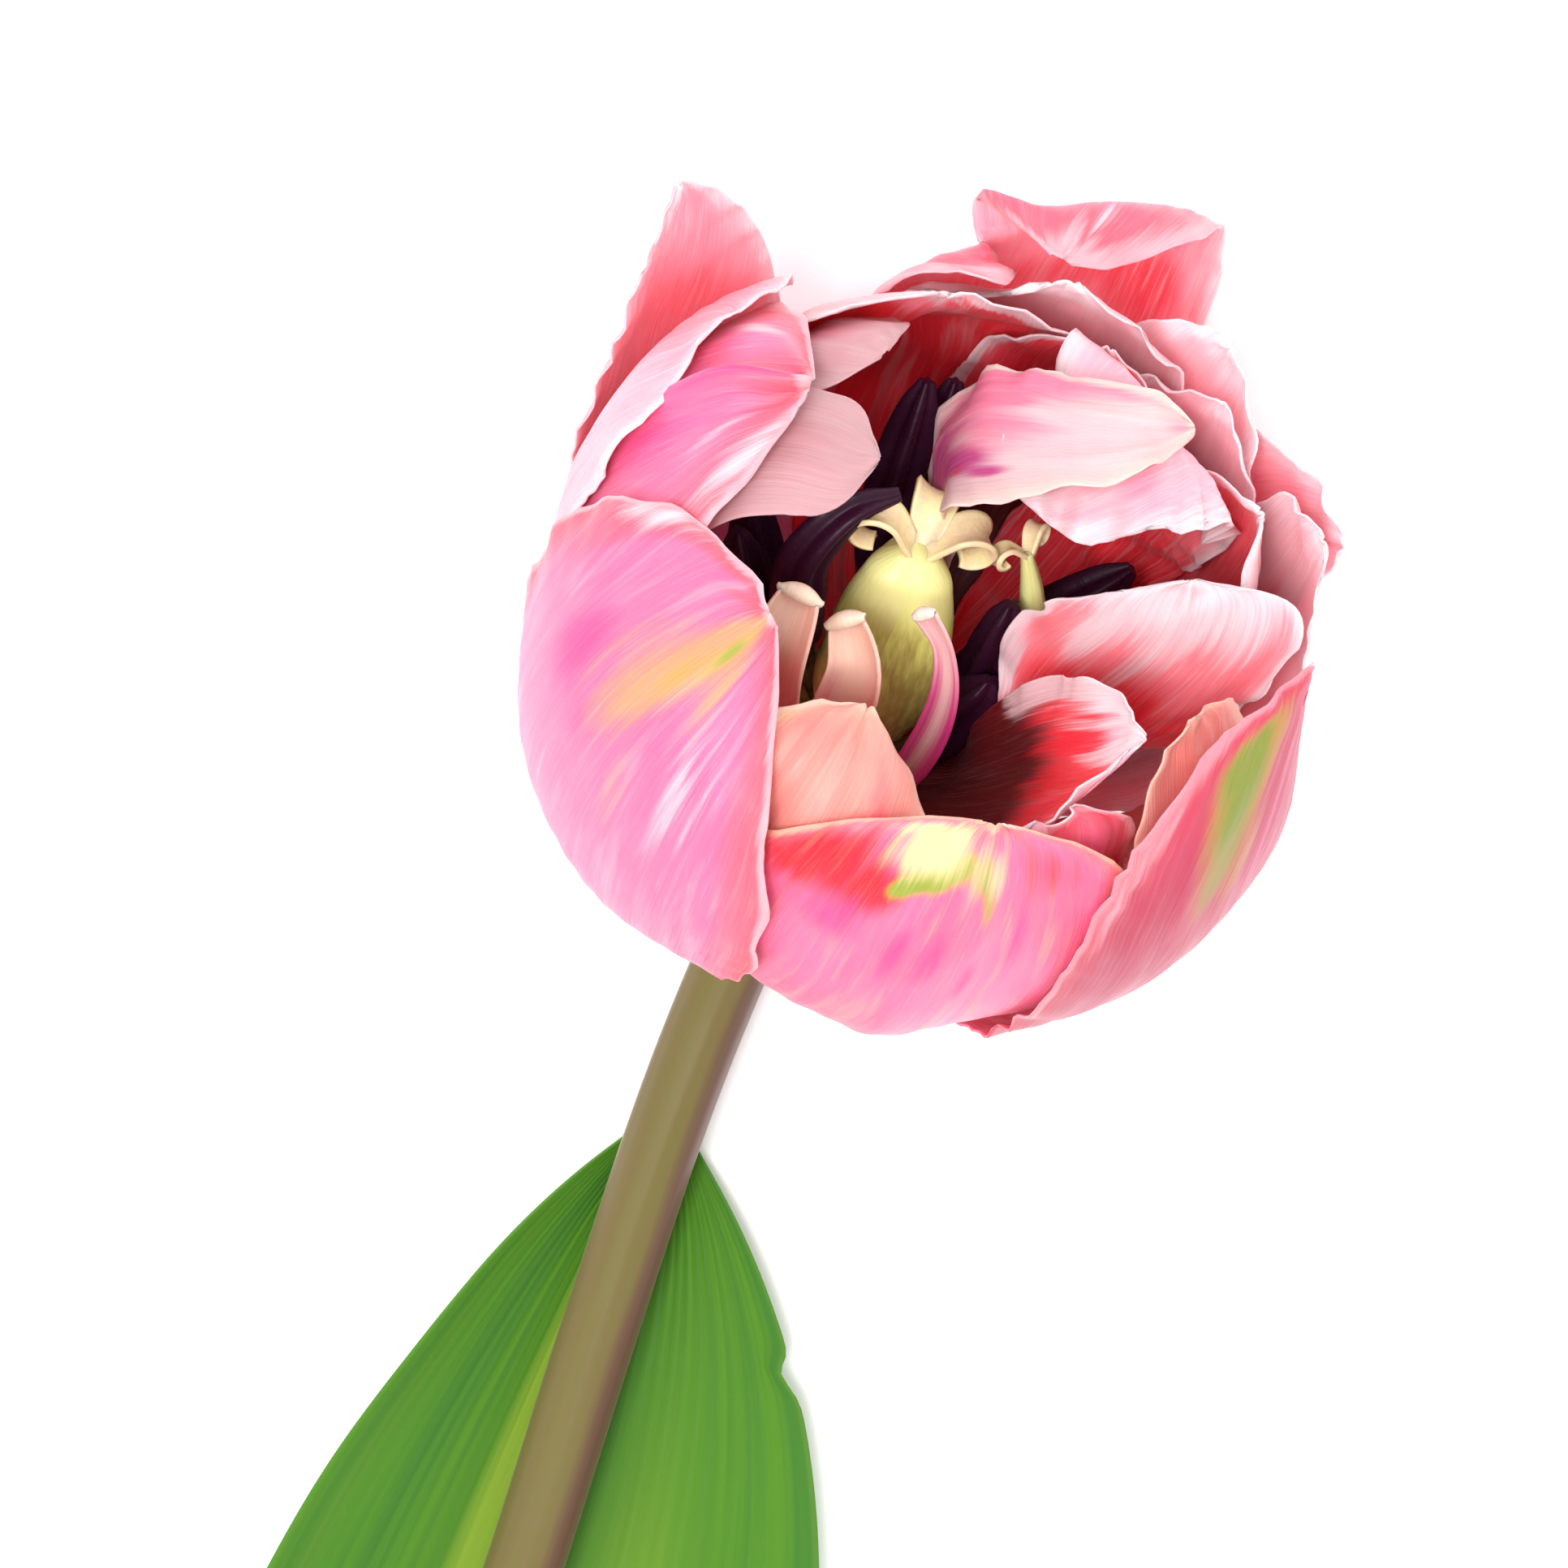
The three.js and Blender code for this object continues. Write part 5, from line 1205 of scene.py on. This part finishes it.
def ovary(name, path, radii, section, lobes, lobe_size, count, pale_from):
    """Swollen green body with curled cream lobes at its tip, as one piece."""
    path, radii = smooth_path(path, radii, count)
    radii[-1] = min(radii[-1], radii[-2])
    points, faces, place = tube(path, radii, OVARY_SIDES, section)
    t = place[:, 1] / place[-1, 1]
    marks = first_mark(smooth(t, pale_from, 1.0))
    vein = np.stack([place[:, 0] * 6, place[:, 1], 0 * t], 1)
    slots = [0] * len(faces)
    for seed, azimuth in enumerate(lobes):
        lobe = lobe_face(path[-1], path[-1] - path[-4], azimuth, lobe_size, seed + 2)
        lobe_points, lobe_faces = sheet_body(lobe, LOBE_THICKNESS)
        faces += (lobe_faces + len(points)).tolist()
        slots += [1] * len(lobe_faces)
        vein = np.vstack([vein, lobe_points])
        marks = np.vstack([marks, first_mark(np.full(len(lobe_points), LOBE_MARK))])
        points = np.vstack([points, lobe_points])
    obj = mesh_object(name, in_row(in_flower(points)), faces, slots, vein=vein, marks=marks)
    c = bpy.context.scene.tulip_colours
    green = plant_material("ovary skin", c.pistil, tone(158, 136, 70), tone(226, 224, 150), 1.2, 0.25, 0.8,
                           Subsurface_Weight=0.25, Subsurface_Radius=(0.8, 1.0, 0.3), Subsurface_Scale=0.0015,
                           Specular_IOR_Level=0.4)
    cream = plant_material("stigma skin", tone(240, 222, 168), tone(226, 190, 168), tone(250, 240, 206), 1.0, 1.0,
                           Subsurface_Weight=0.4, Subsurface_Radius=(1.0, 0.8, 0.5), Subsurface_Scale=0.0012,
                           Specular_IOR_Level=0.4)
    finish_piece(obj, [green, cream], "pistil", name)


def pistil_parts():
    """The pistil with three rolled lobes and the extra carpel beside it with two."""
    body = np.array([1, 1, 1, 1, 1.02, 1.06, 1.0, 0.78, 0.5]) * PISTIL_RADII
    ovary("pistil", line(PISTIL, PISTIL_STEPS), body,
          lambda a, i: 1 + 0.12 * np.cos(3 * a + 0.6) * min(1, i / 25), (8, 75, 165), 2.3, 70, 0.62)
    ovary("side_carpel", bloom()[1]["side_carpel"], RODS["side_carpel"][1],
          lambda a, i: 1 + 0.16 * np.cos(2 * a) - 0.12 * np.exp(-(((a - 1.2) / 0.3) ** 2)), (60, 200), 1.1, 60, 0.6)


# Stem in millimetres: its cut end, its diameter at the low end and the neck, the height of its middle line as it
# lies, how far its surface lies inside the solid's, and the points of the coarse and the fine line and of one ring
CUT_END, STEM_LOW, STEM_NECK, STEM_BED, STEM_INSET = -262.0, 10.8, 9.2, 6.8, 0.03
STEM_STEPS, STEM_POINTS, STEM_SIDES = 27, 260, 72


def stem_line():
    """Middle line and radii of the stem from its cut end to the receptacle."""
    def neck(k):
        return tuple(CENTRE + AXES[2] * k)

    way = [(CUT_END, -1.2, STEM_LOW / 2), (CUT_END + 22, -1.4, STEM_BED - 0.1), (-200, -1.2, STEM_BED),
           (-155, -0.9, STEM_BED), (-110, -0.5, STEM_BED), (-76, 0.2, STEM_BED), (-50, 0.4, STEM_BED),
           (-31, -0.4, STEM_BED + 0.2), (-19, -1.5, STEM_BED + 1.5), (-10, -2.6, STEM_BED + 4.6), neck(-5), neck(0),
           neck(RECEPTACLE_TOP)]
    f = np.linspace(0, 1, STEM_STEPS)
    path = line(way, f)
    radii = (STEM_LOW * (1 - f) + STEM_NECK * f) / 2
    radii[-3:] = RECEPTACLE_RADIUS * np.array([1, 1, 0.92])
    return path, radii


def stem():
    """The stem with faint ridges and a brown side."""
    path, r = smooth_path(*stem_line(), STEM_POINTS)
    depth = bpy.context.scene.tulip_sizes.stem_ridge * 1000

    def section(turn, i):
        ridge = np.sin(9 * turn + 0.01 * i) * 0.5 + np.sin(14 * turn - 0.02 * i + 1) * 0.3
        return 1 + (depth * ridge + 0.05 * soft_noise(9, i / 40 + 0 * turn, np.cos(turn))) / r[i]

    points, faces, place = tube(path, r - STEM_INSET, STEM_SIDES, section)
    t = place[:, 1] / place[-1, 1]
    vein = np.stack([place[:, 0] * 5, place[:, 1], 0 * t], 1)
    centre = np.vstack([path[:1], np.repeat(path, STEM_SIDES, axis=0), path[-1:]])
    brown = smooth(-(points[:, 1] - centre[:, 1]) / STEM_BED, 0.05, 0.75)
    points = in_row(points)
    points[:, 2] = np.maximum(points[:, 2], 0)
    obj = mesh_object("stem", points, faces, vein=vein, marks=first_mark(brown))
    c = bpy.context.scene.tulip_colours
    skin = plant_material("stem skin", c.stem, tone(104, 84, 52), tone(88, 58, 44), 0.35, 0.02, 0.6, 0.0001,
                          Subsurface_Weight=0.15, Subsurface_Radius=(0.6, 0.8, 0.3), Subsurface_Scale=0.0015,
                          Specular_IOR_Level=0.3, Sheen_Weight=0.15, Sheen_Roughness=0.35,
                          Sheen_Tint=(0.9, 0.9, 0.75))
    finish_piece(obj, [skin], "stem", "stem")


# Leaf in millimetres: its tip and base along the stem, its thickness, how deep it is pressed on the surface, its gap
# to the stem and the width of its rounded rim, then the number of its ribs and the points for each cell's sides
LEAF_TIP, LEAF_BASE, LEAF_THICKNESS, LEAF_PRESS, LEAF_GAP, LEAF_RIM = -51.0, -228.0, 0.9, 0.12, 0.95, 0.15
LEAF_RIBS, FINER_LEAF = 17, (9, 10)


def leaf_face():
    """Middle face of the leaf from base to tip, as in the part's source."""
    path, radii = stem_line()
    rows, half = 18, 5
    face = np.zeros((rows, 2 * half + 1, 3))
    for i in range(rows):
        t = i / (rows - 1)
        x = LEAF_BASE + (LEAF_TIP - LEAF_BASE) * t
        tip_fade = 1 - smooth(t, 0.85, 1)
        clasp = 1 - smooth(t, 0, 0.2)
        q = [np.interp(x, path[:, 0], v) for v in (path[:, 1], path[:, 2], radii)]
        for j in range(-half, half + 1):
            s = j / half
            reach, peak = (34, 0.35) if j > 0 else (43, 0.52)
            taper = max(1 - min(max((t - peak) / (1 - peak), 0), 1) ** 2, 0) ** 0.8
            b = max(reach * (0.15 + 0.85 * smooth(t, -0.06, peak)) * taper, 0.9)
            slant = math.radians(6 + 24 * clasp + 10 * (1 - tip_fade))
            bend = math.radians(10 + 30 * clasp)
            y = z = 0
            for k in range(1, abs(j) + 1):
                a = 0 if k == 1 and clasp < 0.1 else slant + bend * (k - 0.5) / half
                y += math.cos(a) * b / half
                z += math.sin(a) * b / half
            fold = 2.2 * s**4 * smooth(t, 0.15, 0.4) * tip_fade if j > 0 else 0
            ripple = 0.9 * s * s * math.sin(9 * t + (0.4 if j > 0 else 2.2)) * smooth(t, 0.2, 0.4) * tip_fade
            p = [x, np.sign(j) * y + 0.8 - 2 * t * (1 - t), LEAF_THICKNESS / 2 + z + fold + abs(ripple)]
            away = math.hypot(p[1] - q[0], p[2] - q[1])
            keep = q[2] + LEAF_THICKNESS / 2 + LEAF_GAP
            if away < keep and j:
                p[1] = q[0] + (p[1] - q[0]) * keep / away
                p[2] = q[1] + (p[2] - q[1]) * keep / away
            p[2] = max(p[2], LEAF_THICKNESS / 2) - LEAF_PRESS
            face[i, j + half] = p
    return face[::-1]


def leaf():
    """The leaf with ribs, a pale stripe and a nick in its right margin."""
    coarse = leaf_face()
    rows, cols = ((k - 1) * f + 1 for k, f in zip(coarse.shape, FINER_LEAF))
    face = finer(coarse, rows, cols)
    t, s = grid_places(rows, cols)
    t = 1 - t
    depth = bpy.context.scene.tulip_sizes.leaf_rib * 1000
    ribs = depth * np.sin(2 * math.pi * LEAF_RIBS * s) * smooth(np.abs(s), 0.1, 0.3) * (1 - np.abs(s) ** 6)
    waves = 0.25 * np.abs(s) ** 3 * soft_noise(31, 5 * t, np.sign(s))
    face = face + grid_normals(face) * (ribs * (1 - smooth(t, 0.9, 1)) + waves)[..., None]
    face[..., 1] += np.exp(-(((t - 0.85) / 0.011) ** 2)) * smooth(-s, 0.8, 1) * 1.8
    thick = LEAF_THICKNESS / 2 * (1 - 0.55 * np.abs(s) ** 4) * 0.95
    vein = np.stack([s * 38, (1 - t) * 180, np.full_like(s, 5.0)], 2)
    top = np.zeros((rows, cols, 4))
    top[..., 0] = 0.9 * np.exp(-(((s - 0.2) / 0.12) ** 2)) + 0.95 * np.exp(-(((s + 0.4) / 0.3) ** 2)) * (1.15 - t)
    # The lighter mark along both margins is a painted highlight where they curl up.
    top[..., 0] += 0.25 * smooth(np.abs(s), 0.93, 1.0) + 0.3 * np.exp(-(((s - 0.85) / 0.12) ** 2))
    top = np.clip(top, 0, 1)
    far = np.full((rows, cols), FAR_FROM_RIM)
    obj = blade_object("leaf", face, thick, LEAF_RIM, vein, top, far, top, far)
    c = bpy.context.scene.tulip_colours
    shine = dict(Subsurface_Weight=0.2, Subsurface_Radius=(0.4, 1.0, 0.2), Subsurface_Scale=0.001,
                 Specular_IOR_Level=0.12)
    skin = plant_material("leaf skin", c.leaf, tone(54, 104, 36), tone(118, 148, 44), 0.4, 0.01, 0.9, 0.0002,
                          **shine)
    under = plant_material("leaf back skin", tone(106, 156, 86), tone(84, 140, 74), tone(150, 186, 100), 0.55, 0.012,
                           0.8, 0.0003, **shine)
    finish_piece(obj, [under, skin], "leaf", "leaf")


# View of the photograph: right and up in the picture and towards the camera, how far left of and below the receptacle
# the picture's middle lies, then the camera's distance, sensor and lens, and half the floor's side and how far the
# floor lies below the flower, in metres
LOOK_RIGHT, LOOK_UP, LOOK_BACK = (0.3161, -0.9452, -0.0730), (0.9214, 0.3245, -0.2126), (0.2250, 0.0, 0.9744)
AIM_LEFT, AIM_BELOW = 0.00516, 0.00153
VIEW_DISTANCE, SENSOR_WIDTH, VIEW_LENS = 0.5, 36.0, 97.56
FLOOR_HALF, FLOOR_DROP = 6, 0.0004


def stage():
    """The photo's camera, a pale floor, two lamps and the light from all round."""
    scene = bpy.context.scene
    right, up, back = (Vector(v).normalized() for v in (LOOK_RIGHT, LOOK_UP, LOOK_BACK))
    aim = Vector(in_row(CENTRE)) - right * AIM_LEFT - up * AIM_BELOW
    camera = bpy.data.objects.new("camera", bpy.data.cameras.new("camera"))
    scene.collection.objects.link(camera)
    camera.data.sensor_width, camera.data.lens = SENSOR_WIDTH, VIEW_LENS
    camera.data.clip_start, camera.data.clip_end = 0.01, 50
    turn = Matrix((right, up, back)).transposed().to_4x4()
    camera.matrix_world = Matrix.Translation(aim + back * VIEW_DISTANCE) @ turn
    scene.camera = camera

    corners = [(x * FLOOR_HALF, y * FLOOR_HALF, 0) for x, y in ((-1, -1), (1, -1), (1, 1), (-1, 1))]
    floor = mesh_object("floor", corners, [(0, 1, 2, 3)])
    floor.location.z = -FLOOR_DROP
    pale = surface("pale floor", Base_Color=(0.92, 0.92, 0.92), Roughness=0.9, Specular_IOR_Level=0.1)[0]
    floor.data.materials.append(pale)

    for name, place, size, power in (("key", (-0.2, -0.14, 0.92), 0.35, 7.0), ("fill", (0.3, 0.5, 0.8), 0.6, 1.5)):
        light = bpy.data.lights.new(name, "AREA")
        light.energy, light.size = power, size
        lamp = bpy.data.objects.new(name, light)
        scene.collection.objects.link(lamp)
        lamp.location = aim + right * place[0] + up * place[1] + back * place[2]
        lamp.rotation_euler = (aim - lamp.location).to_track_quat("-Z", "Y").to_euler()
    world = bpy.data.worlds.new("studio")
    world.use_nodes = True
    background = world.node_tree.nodes["Background"].inputs
    background[0].default_value = (1, 1, 1, 1)
    background[1].default_value = scene.tulip_sizes.room_light
    scene.world = world
    scene.view_settings.view_transform = "Standard"
    scene.view_settings.look = "None"


def length(name, text, default):
    """Length that the panel shows."""
    return FloatProperty(name=name, description=text, default=default, min=0, precision=5, unit="LENGTH")


def colour(name, text, default):
    """Colour that the panel shows."""
    return FloatVectorProperty(name=name, description=text, default=default, subtype="COLOR", size=3, min=0, max=1)


class TulipSizes(bpy.types.PropertyGroup):
    petal_thickness: length("Petal thickness", "Thickness of a petal at its middle", 0.0005)
    pleat_depth: length("Pleat depth", "Depth of the lengthwise pleats of a petal", 0.0001)
    ruffle_depth: length("Ruffle depth", "Depth of the waves along a petal's margin", 0.00045)
    stem_ridge: length("Stem ridges", "Depth of the lengthwise ridges of the stem", 0.00006)
    leaf_rib: length("Leaf ribs", "Depth of the lengthwise ribs of the leaf", 0.00008)
    anther_groove: FloatProperty(name="Anther groove", description="Depth of the anther's grooves as a share of its "
                                 "radius", default=0.28, min=0, max=0.5, subtype="FACTOR")
    pollen_density: FloatProperty(name="Pollen density", description="Pollen grains on a square metre of anther",
                                  default=900000.0, min=0)
    room_light: FloatProperty(name="Room light", description="Strength of the light from all round", default=1.3,
                              min=0)


class TulipColours(bpy.types.PropertyGroup):
    rose: colour("Rose", "Outer face of the outer petals", tone(236, 104, 144))
    magenta: colour("Magenta", "Deep patches of the outer petals", tone(228, 62, 128))
    peach: colour("Peach", "Warm flames of the outer petals", tone(228, 140, 104))
    flame: colour("Flame green", "Green streaks of the outer petals", tone(136, 150, 52))
    coral: colour("Coral", "Inner face of the outer petals", tone(252, 148, 166))
    crimson: colour("Crimson", "Inside of the inner petals", tone(242, 36, 52))
    blush: colour("Blush", "Pale outer face of the inner petals", tone(226, 150, 158))
    margin: colour("Margin", "Pale margins", tone(226, 193, 199))
    anther: colour("Anther", "Anthers", tone(34, 8, 20))
    pistil: colour("Pistil", "Ovary of the pistil", tone(214, 218, 118))
    stem: colour("Stem", "Stem", tone(100, 92, 44))
    leaf: colour("Leaf", "Upper face of the leaf", tone(72, 120, 30))


def make_ring(ring):
    """Petals of one ring."""
    for name in RINGS[ring]:
        petal(name)
    return {"FINISHED"}


class TULIP_OT_outer_petals(bpy.types.Operator):
    """Make the four outer petals"""
    bl_idname = "tulip.outer_petals"
    bl_label = "Outer petals"

    def execute(self, context):
        return make_ring("outer")


class TULIP_OT_second_petals(bpy.types.Operator):
    """Make the second ring of petals"""
    bl_idname = "tulip.second_petals"
    bl_label = "Second ring of petals"

    def execute(self, context):
        return make_ring("second")


class TULIP_OT_inner_petals(bpy.types.Operator):
    """Make the inner petals"""
    bl_idname = "tulip.inner_petals"
    bl_label = "Inner petals"

    def execute(self, context):
        return make_ring("inner")


class TULIP_OT_folded_petals(bpy.types.Operator):
    """Make the folded and upright petals over the mouth"""
    bl_idname = "tulip.folded_petals"
    bl_label = "Folded petals"

    def execute(self, context):
        return make_ring("folded")


class TULIP_OT_stamens(bpy.types.Operator):
    """Make the stamens with grooved anthers and pollen"""
    bl_idname = "tulip.stamens"
    bl_label = "Stamens"

    def execute(self, context):
        tree = grooved_rod_tree()
        for seed, name in enumerate(STAMENS):
            stamen(name, tree, seed + 1)
        return {"FINISHED"}


class TULIP_OT_curled_petaloids(bpy.types.Operator):
    """Make the curled cream petaloids and the ribbon in front of the pistil"""
    bl_idname = "tulip.curled_petaloids"
    bl_label = "Curled petaloids"

    def execute(self, context):
        curled_petaloids()
        return {"FINISHED"}


class TULIP_OT_pistil(bpy.types.Operator):
    """Make the pistil and the extra carpel with their curled stigmas"""
    bl_idname = "tulip.pistil"
    bl_label = "Pistil"

    def execute(self, context):
        pistil_parts()
        return {"FINISHED"}


class TULIP_OT_stem(bpy.types.Operator):
    """Make the stem"""
    bl_idname = "tulip.stem"
    bl_label = "Stem"

    def execute(self, context):
        stem()
        return {"FINISHED"}


class TULIP_OT_leaf(bpy.types.Operator):
    """Make the leaf"""
    bl_idname = "tulip.leaf"
    bl_label = "Leaf"

    def execute(self, context):
        leaf()
        return {"FINISHED"}


class TULIP_OT_stage(bpy.types.Operator):
    """Make the floor, the lights and the camera"""
    bl_idname = "tulip.stage"
    bl_label = "Stage"

    def execute(self, context):
        stage()
        return {"FINISHED"}


STEPS = (TULIP_OT_outer_petals, TULIP_OT_second_petals, TULIP_OT_inner_petals, TULIP_OT_folded_petals,
         TULIP_OT_stamens, TULIP_OT_curled_petaloids, TULIP_OT_pistil, TULIP_OT_stem, TULIP_OT_leaf, TULIP_OT_stage)


class TULIP_PT_panel(bpy.types.Panel):
    """Sizes, colours and steps of the tulip"""
    bl_idname = "TULIP_PT_panel"
    bl_label = "Double Tulip"
    bl_space_type = "VIEW_3D"
    bl_region_type = "UI"
    bl_category = "Tulip"

    def draw(self, context):
        column = self.layout.column()
        for group in (context.scene.tulip_sizes, context.scene.tulip_colours):
            for key in group.__annotations__:
                column.prop(group, key)
        for step in STEPS:
            column.operator(step.bl_idname)


CLASSES = (TulipSizes, TulipColours, *STEPS, TULIP_PT_panel)


def register():
    for cls in CLASSES:
        bpy.utils.register_class(cls)
    bpy.types.Scene.tulip_sizes = PointerProperty(type=TulipSizes)
    bpy.types.Scene.tulip_colours = PointerProperty(type=TulipColours)


def unregister():
    del bpy.types.Scene.tulip_colours
    del bpy.types.Scene.tulip_sizes
    for cls in reversed(CLASSES):
        bpy.utils.unregister_class(cls)


def main():
    register()
    for step in STEPS:
        getattr(bpy.ops.tulip, step.bl_idname.split(".")[1])()


if __name__ == "__main__":
    main()
